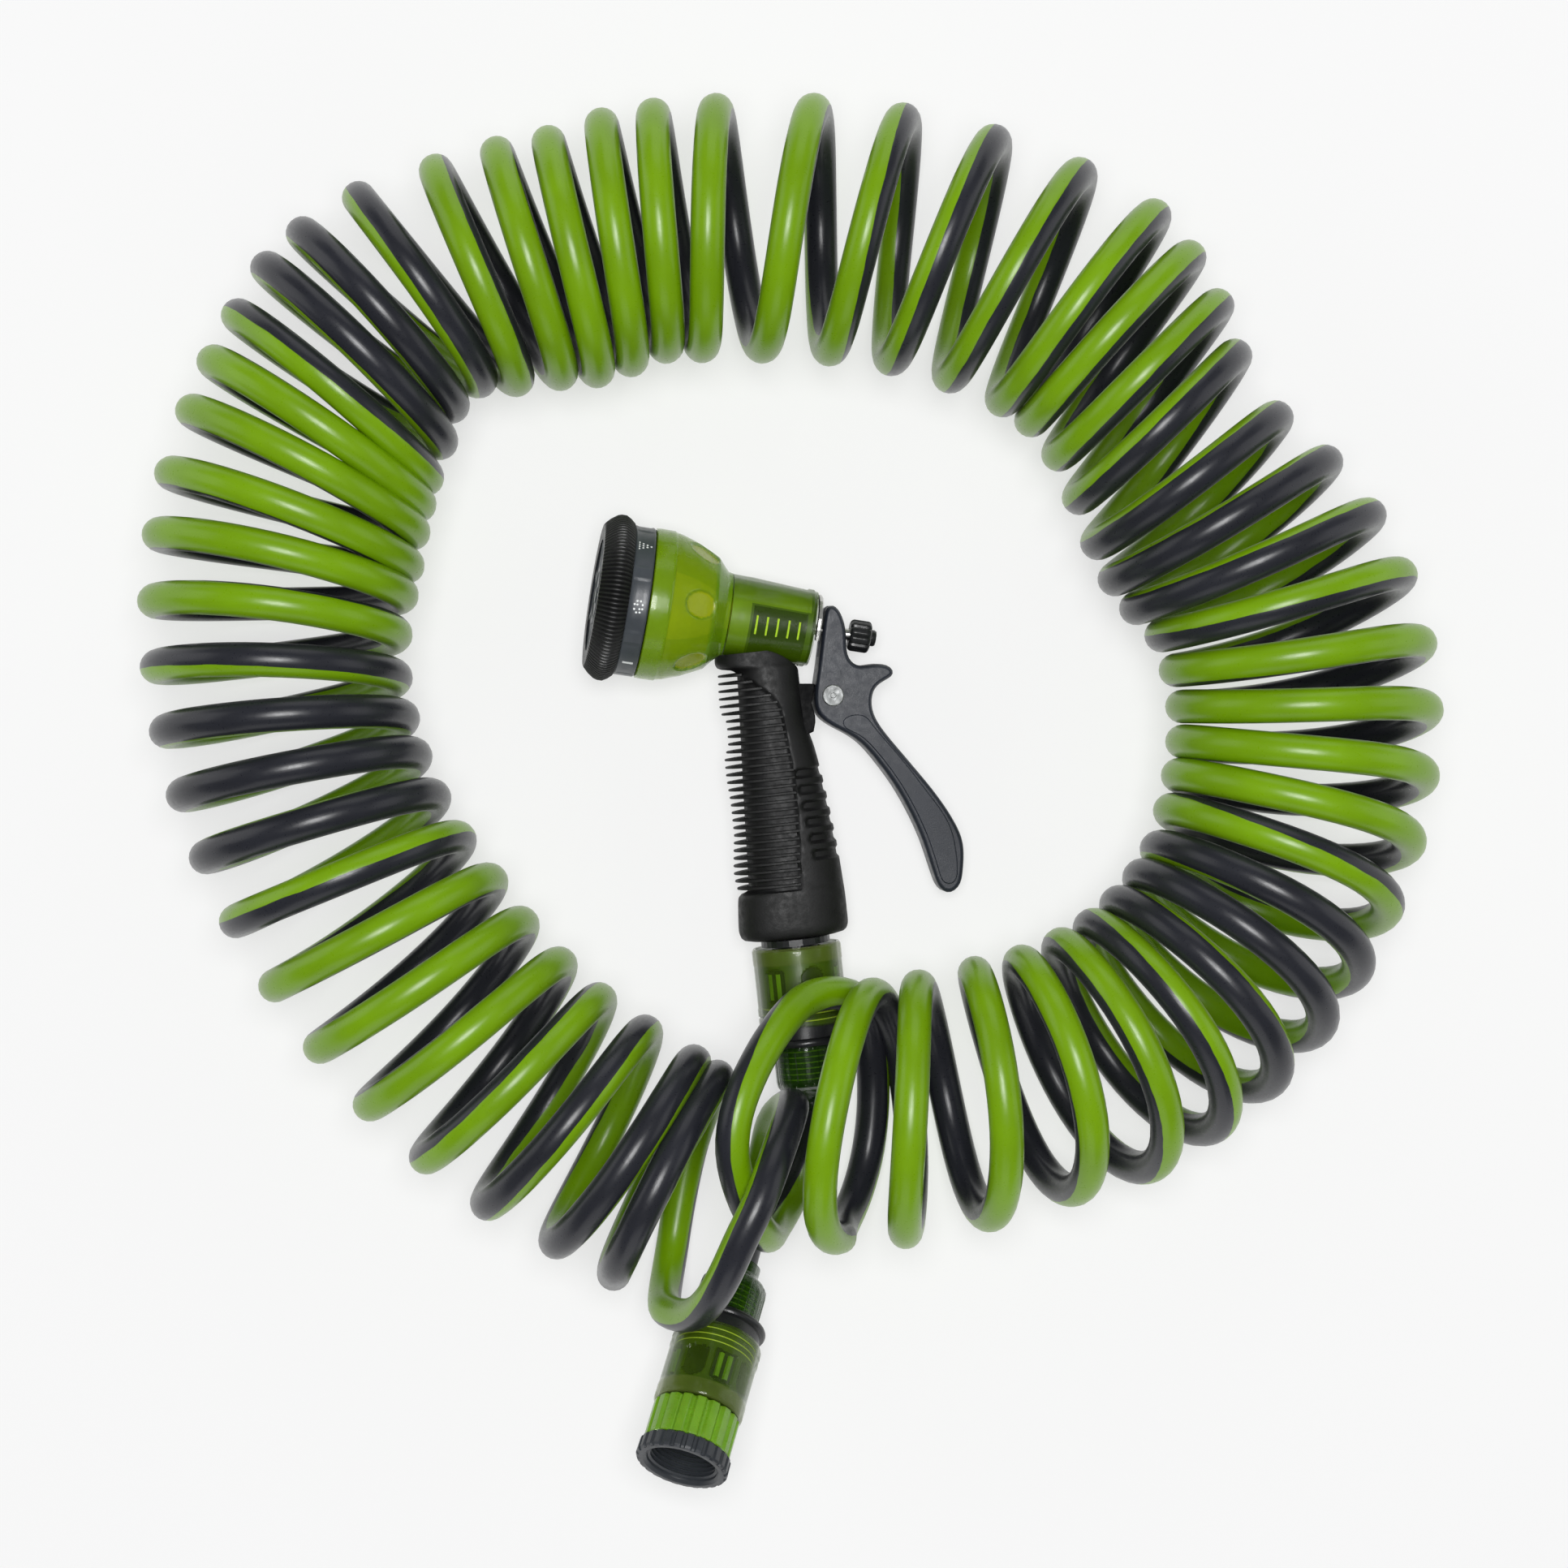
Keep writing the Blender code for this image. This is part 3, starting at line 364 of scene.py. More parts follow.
def hoseLook():
    # Two stripes along the tube, green on one half and dark on the other, with faint drawing lines
    look, tree, shader = newLook("hoseTwoTone", Roughness=0.3, IOR=1.48, Specular_IOR_Level=0.42,
                                 Coat_Weight=0.10, Coat_Roughness=0.28)
    coords = addNode(tree, "ShaderNodeUVMap", uv_map="around").outputs["UV"]
    parts = addNode(tree, "ShaderNodeSeparateXYZ")
    tree.links.new(coords, parts.inputs[0])
    place = objectPlace(tree)
    wander = mathOn(tree, "MULTIPLY", mathOn(tree, "SUBTRACT", noiseOn(tree, place, 60.0, 2.0), 0.5), 0.03)
    share = mathOn(tree, "ADD", parts.outputs[1], wander)
    wave = mathOn(tree, "COSINE", mathOn(tree, "MULTIPLY", share, math.tau))
    greenShare = rampOn(tree, wave, [(0.0, 0.0), (0.035, 1.0)])
    cloud = noiseOn(tree, place, 35.0, 4.0)
    green = rampOn(tree, cloud, [(0.3, tuple(part * 0.88 for part in hose["green"])),
                                 (0.7, tuple(part * 1.08 for part in hose["green"]))])
    dark = rampOn(tree, cloud, [(0.3, tuple(part * 0.85 for part in hose["dark"])),
                                (0.7, tuple(part * 1.2 for part in hose["dark"]))])
    tree.links.new(mixOn(tree, greenShare, dark, green), shader.inputs["Base Color"])
    speck = noiseOn(tree, place, 700.0, 4.0, 0.65)
    tree.links.new(rampOn(tree, speck, [(0.35, 0.27), (0.75, 0.37)]), shader.inputs["Roughness"])
    stretched = addNode(tree, "ShaderNodeMapping")
    stretched.inputs["Scale"].default_value = (12.0, 70.0, 1.0)
    tree.links.new(coords, stretched.inputs["Vector"])
    bumpOn(tree, shader, noiseOn(tree, stretched.outputs[0], 1.0, 3.0), 0.12, 0.0002)
    return look


# Floor and light

studio = {
    "floor": (0.34, 0.34, 0.34),
    "floorGlow": 0.61,           # a lit table, so shadows stay faint
    "floorHalf": 30.0,
    "sky": (0.96, 0.98, 1.0),
    "skyStrength": 0.12,
    # Place, side length and power of each panel
    "panels": [((0.02, 0.10, 2.15), 0.75, 36.0), ((-2.1, 0.7, 0.6), 1.6, 8.0), ((2.1, 0.2, 0.6), 1.6, 6.5),
               ((0.3, 2.2, 0.6), 1.6, 7.5), ((-0.2, -2.2, 0.6), 1.6, 6.5)],
}


def makeStudio():
    mesh = bmesh.new()
    bmesh.ops.create_grid(mesh, x_segments=1, y_segments=1, size=studio["floorHalf"])
    data = bpy.data.meshes.new("floor")
    mesh.to_mesh(data)
    mesh.free()
    floor = addObject("floor", data)
    look, tree, shader = newLook("floorPaper", Roughness=0.9, Emission_Color=(1.0, 1.0, 1.0, 1.0),
                                 Emission_Strength=studio["floorGlow"])
    tone = noiseOn(tree, objectPlace(tree), 3.0, 4.0)
    low = tuple(part * 0.985 for part in studio["floor"])
    tree.links.new(rampOn(tree, tone, [(0.3, low), (0.7, studio["floor"])]), shader.inputs["Base Color"])
    data.materials.append(look)
    world = bpy.data.worlds.new("studio")
    world.use_nodes = True
    world.node_tree.nodes["Background"].inputs["Color"].default_value = (*studio["sky"], 1.0)
    world.node_tree.nodes["Background"].inputs["Strength"].default_value = studio["skyStrength"]
    bpy.context.scene.world = world
    for k, (place, size, power) in enumerate(studio["panels"]):
        lamp = bpy.data.lights.new(f"panel{k}", "AREA")
        lamp.size = size
        lamp.energy = power
        item = addObject(f"panel{k}", lamp)
        item.location = place
        item.rotation_euler = (Vector((0, 0, 0)) - Vector(place)).to_track_quat("-Z", "Y").to_euler()
    print("floor and light done")


# Helpers for pieces

def placeOf(origin, xAxis, yAxis, zAxis):
    return Matrix.Translation(origin) @ Matrix((xAxis, yAxis, zAxis)).transposed().to_4x4()


def aim(yaw, pitch):
    yaw, pitch = math.radians(yaw), math.radians(pitch)
    return Vector((math.cos(pitch) * math.cos(yaw), math.cos(pitch) * math.sin(yaw), math.sin(pitch)))


def around(spot):
    # Reach from the Z axis, turn about it and height; lengths in millimetres
    return math.hypot(spot.x, spot.y) / mm, math.atan2(spot.y, spot.x), spot.z / mm


def pressIn(vert, depth):
    # Moves a point towards the Z axis, by millimetres
    share = 1.0 - depth * mm / math.hypot(vert.co.x, vert.co.y)
    vert.co.x *= share
    vert.co.y *= share


def spun(profile, steps, closed=False):
    # Turns (radius, height) points in millimetres about Z
    mesh = bmesh.new()
    verts = [mesh.verts.new((radius * mm, 0, height * mm)) for radius, height in profile]
    edges = [mesh.edges.new(pair) for pair in zip(verts, verts[1:])]
    if closed:
        edges.append(mesh.edges.new((verts[-1], verts[0])))
    bmesh.ops.spin(mesh, geom=verts + edges, cent=(0, 0, 0), axis=(0, 0, 1), angle=math.tau, steps=steps,
                   use_merge=True, use_duplicate=False)
    bmesh.ops.remove_doubles(mesh, verts=mesh.verts, dist=1e-6)
    bmesh.ops.recalc_face_normals(mesh, faces=mesh.faces)
    return mesh


def stepped(profile, step):
    # More points along a profile, its corners kept
    out = []
    for (r0, h0), (r1, h1) in zip(profile, profile[1:]):
        count = max(1, math.ceil(math.hypot(r1 - r0, h1 - h0) / step))
        out += [(r0 + (r1 - r0) * k / count, h0 + (h1 - h0) * k / count) for k in range(count)]
    return out + [profile[-1]]


def hoops(places, thick, sides, steps, start=0.0, sweep=math.tau):
    # Round wires bent about the Z axis, each at its reach and height in millimetres
    mesh = bmesh.new()
    full = sweep == math.tau
    for reach, height in places:
        ring = bmesh.ops.create_circle(mesh, segments=sides, radius=thick * mm, matrix=(
            Matrix.Rotation(start, 4, "Z") @ Matrix.Translation((reach * mm, 0, height * mm))
            @ Matrix.Rotation(math.pi / 2, 4, "X")))
        geometry = ring["verts"] + list({edge for vert in ring["verts"] for edge in vert.link_edges})
        bmesh.ops.spin(mesh, geom=geometry, cent=(0, 0, 0), axis=(0, 0, 1), angle=sweep, steps=steps,
                       use_merge=full, use_duplicate=False)
    if full:
        bmesh.ops.remove_doubles(mesh, verts=mesh.verts, dist=1e-6)
    else:
        bmesh.ops.holes_fill(mesh, edges=mesh.edges, sides=sides)
    bmesh.ops.recalc_face_normals(mesh, faces=mesh.faces)
    return mesh


def rolledBox(mesh, size, matrix, bevel, segments=2):
    # Adds a box with rounded edges
    box = bmesh.new()
    bmesh.ops.create_cube(box, size=1.0)
    bmesh.ops.scale(box, vec=size, verts=box.verts)
    bmesh.ops.bevel(box, geom=box.edges[:], offset=bevel, offset_type="OFFSET", affect="EDGES",
                    segments=segments, profile=0.5, material=-1, clamp_overlap=True)
    bmesh.ops.transform(box, matrix=matrix, verts=box.verts)
    data = bpy.data.meshes.new("box")
    box.to_mesh(data)
    box.free()
    mesh.from_mesh(data)
    bpy.data.meshes.remove(data)


looks = {}


def finishPiece(mesh, name, matrix, look, body, stands="", sharp=40.0):
    # Turns a bmesh into a piece that rides its body
    bmesh.ops.transform(mesh, matrix=matrix, verts=mesh.verts)
    data = bpy.data.meshes.new(name)
    mesh.to_mesh(data)
    mesh.free()
    data.shade_smooth()
    data.set_sharp_from_angle(angle=math.radians(sharp))
    piece = addObject(name, data)
    data.materials.append(looks[look])
    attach(piece, body)
    if stands:
        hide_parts(stands)
    return piece


def shareOut(piece, names, kinds):
    # Further materials, and which one each face has
    for name in names:
        piece.data.materials.append(looks[name])
    piece.data.polygons.foreach_set("material_index", kinds)


# Gun: its barrel and handle lie in one tilted plane

gun = {
    "origin": (-0.068, 0.073, 0.031235),
    "barrelAim": (-8.6, -6.5),
    "handleAim": (-83.9, -2.6),
    "handleStart": (60.0 * mm, -14.0 * mm, 0.0),
}
barrelAxis = aim(*gun["barrelAim"])
handleAxis = aim(*gun["handleAim"])
gunUp = handleAxis.cross(barrelAxis).normalized()
gunPlace = placeOf(Vector(gun["origin"]), barrelAxis, gunUp.cross(barrelAxis), gunUp)
handlePlace = placeOf(gunPlace @ Vector(gun["handleStart"]), -handleAxis.cross(gunUp), -handleAxis, gunUp)
# Barrel pieces are turned about Z, so this one's Z runs back along the barrel and its X faces up
barrelPlace = placeOf(Vector(gun["origin"]), gunUp, -gunPlace.col[1].to_3d(), barrelAxis)


def clearLook(name, tone, deep, cover, rough=0.12):
    # Tinted see-through plastic with flow marks and a slight haze
    # The more slanted, the more plastic is looked through
    look, tree, shader = newLook(name, IOR=1.5, Specular_IOR_Level=0.5, Coat_Weight=0.3, Coat_Roughness=0.08)
    spot = objectPlace(tree)
    tree.links.new(rampOn(tree, noiseOn(tree, spot, 45.0, 3.0), [(0.3, deep), (0.65, tone)]),
                   shader.inputs["Base Color"])
    slant = addNode(tree, "ShaderNodeLayerWeight")
    slant.inputs["Blend"].default_value = 0.5
    stops = [(0.0, cover), (0.6, cover + (1 - cover) * 0.4), (0.92, 1.0)]
    tree.links.new(rampOn(tree, slant.outputs["Facing"], stops), shader.inputs["Alpha"])
    haze = noiseOn(tree, spot, 260.0, 4.0, 0.6)
    tree.links.new(rampOn(tree, haze, [(0.35, rough * 0.7), (0.75, rough * 1.6)]), shader.inputs["Roughness"])
    bumpOn(tree, shader, noiseOn(tree, spot, 700.0, 2.0), 0.4, 0.00004)
    return look


# Look, its material's name, tone, roughness, grain, grain's depth, how far the tone wanders, other sockets
solidLooks = [
    ("rubber", "gripRubber", (0.0085, 0.0085, 0.0090), 0.55, 1400.0, 0.00012, 0.25,
     {"Specular_IOR_Level": 0.35}),
    ("bumper", "bumperRubber", (0.0075, 0.0075, 0.0080), 0.42, 1600.0, 0.0001, 0.25, {}),
    ("slate", "slatePlastic", (0.020, 0.024, 0.034), 0.40, 1900.0, 0.00006, 0.10, {"Specular_IOR_Level": 0.4}),
    ("collarGrey", "collarPlastic", (0.052, 0.060, 0.070), 0.34, 1900.0, 0.00005, 0.12, {}),
    ("black", "blackPlastic", (0.012, 0.013, 0.014), 0.32, 1700.0, 0.00006, 0.25, {}),
    ("thread", "nutPlastic", (0.030, 0.034, 0.040), 0.38, 1500.0, 0.00008, 0.18, {}),
    ("matte", "mattePlastic", (0.0045, 0.0045, 0.0050), 0.75, 1500.0, 0.00006, 0.25,
     {"Specular_IOR_Level": 0.2}),
    ("marks", "whitePrint", (0.80, 0.82, 0.82), 0.5, 2200.0, 0.00002, 0.05, {}),
    ("facePale", "faceGrey", (0.16, 0.17, 0.18), 0.4, 1500.0, 0.00006, 0.15, {}),
    ("green", "fittingGreen", (0.150, 0.330, 0.012), 0.30, 1500.0, 0.00006, 0.12,
     {"Coat_Weight": 0.2, "Coat_Roughness": 0.2, "Subsurface_Weight": 0.08, "Subsurface_Scale": 0.002}),
    # Painted light on the cone inside the bell: a faintly glowing lit yellow, and an olive half-shade copy of it
    ("inner", "coneLitYellowPainted", (0.66, 0.66, 0.004), 0.5, 900.0, 0.00006, 0.12,
     {"Emission_Color": (0.60, 0.62, 0.0, 1.0), "Emission_Strength": 0.10}),
    ("coneHalfShade", "coneHalfShadeOlive", (0.46, 0.56, 0.004), 0.5, 900.0, 0.00006, 0.12, {}),
    ("innerBand", "innerBand", (0.32, 0.55, 0.006), 0.45, 900.0, 0.00006, 0.12, {}),
    # Painted highlight: faintly glowing bright yellow-green for the glints on the spring's turns
    ("glint", "springGlintPainted", (0.62, 0.90, 0.06), 0.25, 1500.0, 0.00003, 0.10,
     {"Emission_Color": (0.45, 0.80, 0.02, 1.0), "Emission_Strength": 0.15}),
    ("steel", "springSteel", (0.55, 0.55, 0.53), 0.28, 2500.0, 0.00003, 0.12, {"Metallic": 1.0}),
    ("zinc", "rivetZinc", (0.40, 0.41, 0.41), 0.62, 500.0, 0.0006, 0.2, {"Metallic": 1.0}),
    ("linerShade", "linerShade", (0.075, 0.150, 0.003), 0.45, 1200.0, 0.00005, 0.15, {}),
    ("liner", "linerGreen", (0.25, 0.44, 0.003), 0.45, 1200.0, 0.00005, 0.15, {}),
    ("sleeve", "sleeveGreen", (0.060, 0.120, 0.004), 0.35, 1200.0, 0.00005, 0.3, {}),
    # Near-black green: the nut's core, the liner's dark patch, and painted shade inside the connector windows
    ("deepGreen", "darkCoreAndShadeGreen", (0.008, 0.018, 0.003), 0.3, 1200.0, 0.00005, 0.3, {}),
    # Lighter green for the connector claws and the nut's thread ridges, painted brighter as painted highlights
    ("clawAndThreadGlint", "clawAndThreadGlint", (0.20, 0.46, 0.012), 0.3, 1200.0, 0.00005, 0.3, {}),
    # Painted highlights: faintly glowing bright rings on the connector sleeve near the collar's hose end
    ("ringGlintGreen", "ringGlintPainted", (0.50, 0.68, 0.05), 0.25, 1200.0, 0.00003, 0.2,
     {"Emission_Color": (0.5, 0.7, 0.05, 1.0), "Emission_Strength": 0.2}),
]
# Look, its material's name, tone, deeper tone, cover seen straight on, roughness
clearLooks = [
    ("bellClear", "bellGreen", (0.25, 0.41, 0.002), (0.21, 0.36, 0.001), 0.42, 0.24),
    ("bandClear", "bandGreen", (0.23, 0.40, 0.006), (0.20, 0.36, 0.004), 0.55, 0.24),
    ("neckClear", "neckGreen", (0.17, 0.34, 0.003), (0.14, 0.29, 0.002), 0.50, 0.2),
    ("dimpleClear", "dimpleGreen", (0.42, 0.50, 0.002), (0.34, 0.42, 0.002), 0.42, 0.24),
    ("barrelClear", "barrelGreen", (0.09, 0.18, 0.002), (0.07, 0.145, 0.002), 0.14, 0.14),
    ("collarClear", "oliveGreen", (0.09, 0.15, 0.008), (0.05, 0.10, 0.005), 0.13, 0.12),
    ("mouthClear", "mouthOlive", (0.20, 0.25, 0.05), (0.14, 0.19, 0.03), 0.22, 0.12),
    ("nutClear", "nutGreen", (0.02, 0.075, 0.003), (0.012, 0.05, 0.002), 0.30, 0.12),
]


def makeLooks():
    for key, name, tone, rough, grain, depth, spread, others in solidLooks:
        looks[key] = mouldedLook(name, tone, rough, grain, depth, spread, **others)
    for key, name, tone, deep, cover, rough in clearLooks:
        looks[key] = clearLook(name, tone, deep, cover, rough)
    print("materials ready:", len(looks))


bumper = {
    "profile": [(21.0, -5.9), (24.6, -6.1), (26.9, -6.1), (27.6, -5.6), (29.3, -3.9), (30.9, -1.6), (31.3, -0.2),
                (31.3, 1.6), (30.3, 3.4), (28.9, 5.0), (28.3, 5.3), (24.5, 5.3)],
    "ribs": 112,
    "stepsPerRib": 6,
    "ribDepth": 0.85,
    "ribbedFrom": 27.2,          # reach from the barrel's axis
    "ribbedEnds": (-5.7, 5.2),
}


def makeBumper():
    mesh = spun(stepped(bumper["profile"], 1.0), bumper["ribs"] * bumper["stepsPerRib"])
    low, high = bumper["ribbedEnds"]
    for vert in mesh.verts:
        reach, turn, height = around(vert.co)
        if reach > bumper["ribbedFrom"] and low < height < high:
            pressIn(vert, (0.5 + 0.5 * math.cos(bumper["ribs"] * turn)) ** 2 * bumper["ribDepth"])
    finishPiece(mesh, "bumper", barrelPlace, "bumper", "dial", "bumper_ring", 60.0)


face = {
    "profile": [(0.0, -5.6), (3.0, -5.6), (3.4, -5.1), (9.0, -5.1), (9.3, -5.5), (10.4, -5.5), (10.7, -5.0),
                (23.0, -5.0), (23.3, -5.5), (24.4, -5.5), (24.4, 5.2), (0.0, 5.2)],
    "patterns": 7,
    "reach": 17.0,               # to the middle of a pattern and of a spoke
    "spoke": (12.6 * mm, 1.1 * mm, 1.0 * mm),
    "spokeEdge": 0.25 * mm,
    "spokeLevel": -5.0,
    "hole": 0.5 * mm,
    "holeLevel": -5.08,
    "holeRings": (1.4, 1.5),     # reach of ring 0, and from each ring to the next
}


def makeFace():
    finishPiece(spun(stepped(face["profile"], 2.5), 96), "face_disc", barrelPlace, "collarGrey", "dial",
                "spray_face")
    mesh = bmesh.new()
    holes = bmesh.new()
    least, more = face["holeRings"]
    for k in range(face["patterns"]):
        turn = Matrix.Rotation(math.tau * k / face["patterns"], 4, "Z")
        rolledBox(mesh, face["spoke"],
                  turn @ Matrix.Translation((face["reach"] * mm, 0, face["spokeLevel"] * mm)), face["spokeEdge"])
        middle = math.tau * (k + 0.5) / face["patterns"]
        for ring in range(1 + k % 3):
            count = 3 + 3 * ring + k % 2
            for j in range(count):
                angle = math.tau * j / count
                reach = least + more * ring
                spot = Vector((math.cos(middle) * face["reach"] + math.cos(angle) * reach,
                               math.sin(middle) * face["reach"] + math.sin(angle) * reach,
                               face["holeLevel"])) * mm
                # Black discs for the holes, as painted shade where the holes show dark
                bmesh.ops.create_circle(holes, cap_ends=True, segments=8, radius=face["hole"],
                                        matrix=Matrix.Translation(spot) @ Matrix.Rotation(math.pi, 4, "X"))
    finishPiece(mesh, "face_spokes", barrelPlace, "facePale", "dial")
    finishPiece(holes, "face_hole_shade", barrelPlace, "black", "dial")


iconCollar = {
    "profile": [(24.5, 5.4), (28.0, 5.4), (28.2, 5.8), (28.2, 12.3), (27.9, 12.8), (24.5, 12.8)],
    "icons": 7,
    "firstIcon": 5.0,            # degrees from straight up
    "grooveDepth": 0.25,
    "grooveFrom": 28.1,
    "grooveEnds": (6.0, 12.2),
    "barHalf": 0.09,             # of the plain bar between two grooves, in radians
    "middle": 9.1,               # height of the icons' middle
    "dot": 0.42 * mm,
    "dotReach": 28.04,
    "bar": (0.2 * mm, 1.1 * mm, 4.0 * mm),
}
# Generic spray marks: along the barrel and across it, in millimetres from the middle
iconDots = {
    0: [(1.6 * math.cos(a), 2.3 * math.sin(a)) for a in (0.3, 1.1, 1.9, 2.7, 3.5, 4.3, 5.1, 5.9)]
       + [(0.5, 0.8), (-0.5, -0.8)],
    1: [(-2.4 + 1.5 * i, (j - (3 - i) / 2) * 1.15) for i in range(4) for j in range(4 - i)],
    2: [(1.2 * i, 1.2 * j) for i in (-1, 0, 1) for j in (-1, 0, 1)],
    3: [(0.0, 0.0)],
    4: [(1.8 * math.cos(a), 1.8 * math.sin(a)) for a in (0.0, 1.26, 2.51, 3.77, 5.03)] + [(0.0, 0.0)],
    5: [(-1.8 + 0.9 * i, 0.0) for i in range(5)],
}


def makeIconCollar():
    mesh = spun(stepped(iconCollar["profile"], 1.2), iconCollar["icons"] * 40)
    pitch = math.tau / iconCollar["icons"]
    first = math.radians(iconCollar["firstIcon"])
    low, high = iconCollar["grooveEnds"]
    for vert in mesh.verts:
        reach, turn, height = around(vert.co)
        turn = (turn - first + pitch / 2) % pitch
        grooved = reach > iconCollar["grooveFrom"] and low < height < high
        if grooved and min(turn, pitch - turn) > iconCollar["barHalf"]:
            pressIn(vert, iconCollar["grooveDepth"])
    finishPiece(mesh, "icon_band", barrelPlace, "collarGrey", "dial", "icon_collar", 30.0)
    marks = bmesh.new()
    middle = iconCollar["middle"]
    for k in range(iconCollar["icons"]):
        for along, across in iconDots.get(k, []):
            turn = first - pitch * k + across / 28.2
            matrix = (Matrix.Rotation(turn, 4, "Z")
                      @ Matrix.Translation((iconCollar["dotReach"] * mm, 0, (middle + along) * mm))
                      @ Matrix.Rotation(math.pi / 2, 4, "Y"))
            bmesh.ops.create_circle(marks, cap_ends=True, segments=8, radius=iconCollar["dot"], matrix=matrix)
    # The last icon is a plain bar
    rolledBox(marks, iconCollar["bar"], Matrix.Rotation(first + pitch, 4, "Z")
              @ Matrix.Translation((27.95 * mm, 0, middle * mm)), 0.05 * mm, 1)
    finishPiece(marks, "spray_marks", barrelPlace, "marks", "dial")


shell = {
    "bell": [(27.6, 13.2), (28.3, 13.6), (28.4, 15.0), (28.3, 20.6), (27.9, 21.0), (27.4, 23.5), (26.4, 26.5),
             (25.2, 30.0), (23.5, 33.6), (21.2, 38.3), (18.2, 40.9), (16.4, 42.6), (16.0, 44.1)],
    "wall": 0.9,
    "bandEnd": 21.0,
    "neckStart": 37.5,
    "barrel": [(15.9, 45.2), (15.75, 52.0), (15.2, 60.0), (14.6, 68.0), (14.3, 73.0), (14.7, 73.6),
               (14.7, 75.4), (14.2, 76.0), (14.0, 77.0)],
    "barrelStart": 44.4,
    "dimples": 6,
    "dimpleHeight": 32.2,
    "dimpleHalf": (5.3, 6.0),    # across and along
    "firstDimple": 5.0,
    "dimpleDepth": 1.3,
    "dimpleRim": 0.15,
    # Height, and the reach from which on a point or a face is on the bell's outer side
    "outerPoints": [(24, 25.6), (33, 22.4), (38, 19.8), (41, 16.6)],
    "outerFaces": [(13, 27.0), (21, 26.8), (33, 22.0), (38, 19.4), (45, 14.5)],
    # What shows through: a band behind the dial, a yellow-green cone with painted light on its upper side, a liner
    # with a painted shade patch, and the spring's turns as painted highlights
    "band": [(3.0, 13.6), (26.7, 13.6), (26.7, 20.6), (26.2, 21.2), (3.0, 21.2)],
    "cone": [(3.0, 21.5), (25.2, 21.5), (24.2, 25.2), (22.2, 29.4), (19.4, 34.0), (15.8, 37.8), (10.6, 39.6),
             (10.6, 44.4), (3.0, 44.4)],
    "coneLitTurns": (30.0, 52.0),   # where its yellow ends and its olive ends, in degrees from straight up
    "liner": [(11.3, 44.8), (14.6, 44.8), (14.6, 50.0), (13.3, 72.6), (13.3, 76.6), (11.3, 76.6)],
    "window": (51.5, 74.2, 24.0),
    "linerRim": (74.8, 75.4),
    "springTurns": [(14.42, 54.6), (14.2, 58.6), (13.97, 62.6), (13.74, 66.8), (13.5, 70.8)],
    "springSweep": (-6.0, 28.0),
}


def dimpleFar(reach, turn, height):
    # Distance from the nearest dimple's middle: 1 at its edge
    pitch = math.tau / shell["dimples"]
    turn = (turn + math.radians(shell["firstDimple"]) + pitch / 2) % pitch - pitch / 2
    across, along = shell["dimpleHalf"]
    return math.hypot(turn * reach / across, (height - shell["dimpleHeight"]) / along)


def makeBell():
    bell = shell["bell"]
    inner = [(radius - shell["wall"], height) for radius, height in bell]
    inner[0] = (inner[0][0], bell[0][1])
    mesh = spun(stepped(bell, 0.6) + stepped(inner[::-1], 2.0), 300, closed=True)
    for vert in mesh.verts:
        reach, turn, height = around(vert.co)
        far = dimpleFar(reach, turn, height)
        outside = 24 < height < 41 and reach >= between(shell["outerPoints"], height)
        if outside and far < 1.12:
            inside = max(0.0, min(1.0, (1.04 - far) / 0.16))
            pressIn(vert, shell["dimpleDepth"] * inside * (1.0 - 0.45 * far * far)
                    - (shell["dimpleRim"] if far > 1.0 else 0.0))
    kinds = []
    for item in mesh.faces:
        reach, turn, height = around(item.calc_center_median())
        far = dimpleFar(reach, turn, height)
        # Outer dimples: a rim in the neck's darker green as painted shade along the crease, and a lighter middle
        if far < 1.05 and reach > between(shell["outerFaces"], height):
            kinds.append(3 if far < 0.91 else 2)
        else:
            kinds.append(1 if height < shell["bandEnd"] else 2 if height > shell["neckStart"] else 0)
    piece = finishPiece(mesh, "bell", barrelPlace, "bellClear", "gun", "body_shell", 50.0)
    shareOut(piece, ("bandClear", "neckClear", "dimpleClear"), kinds)


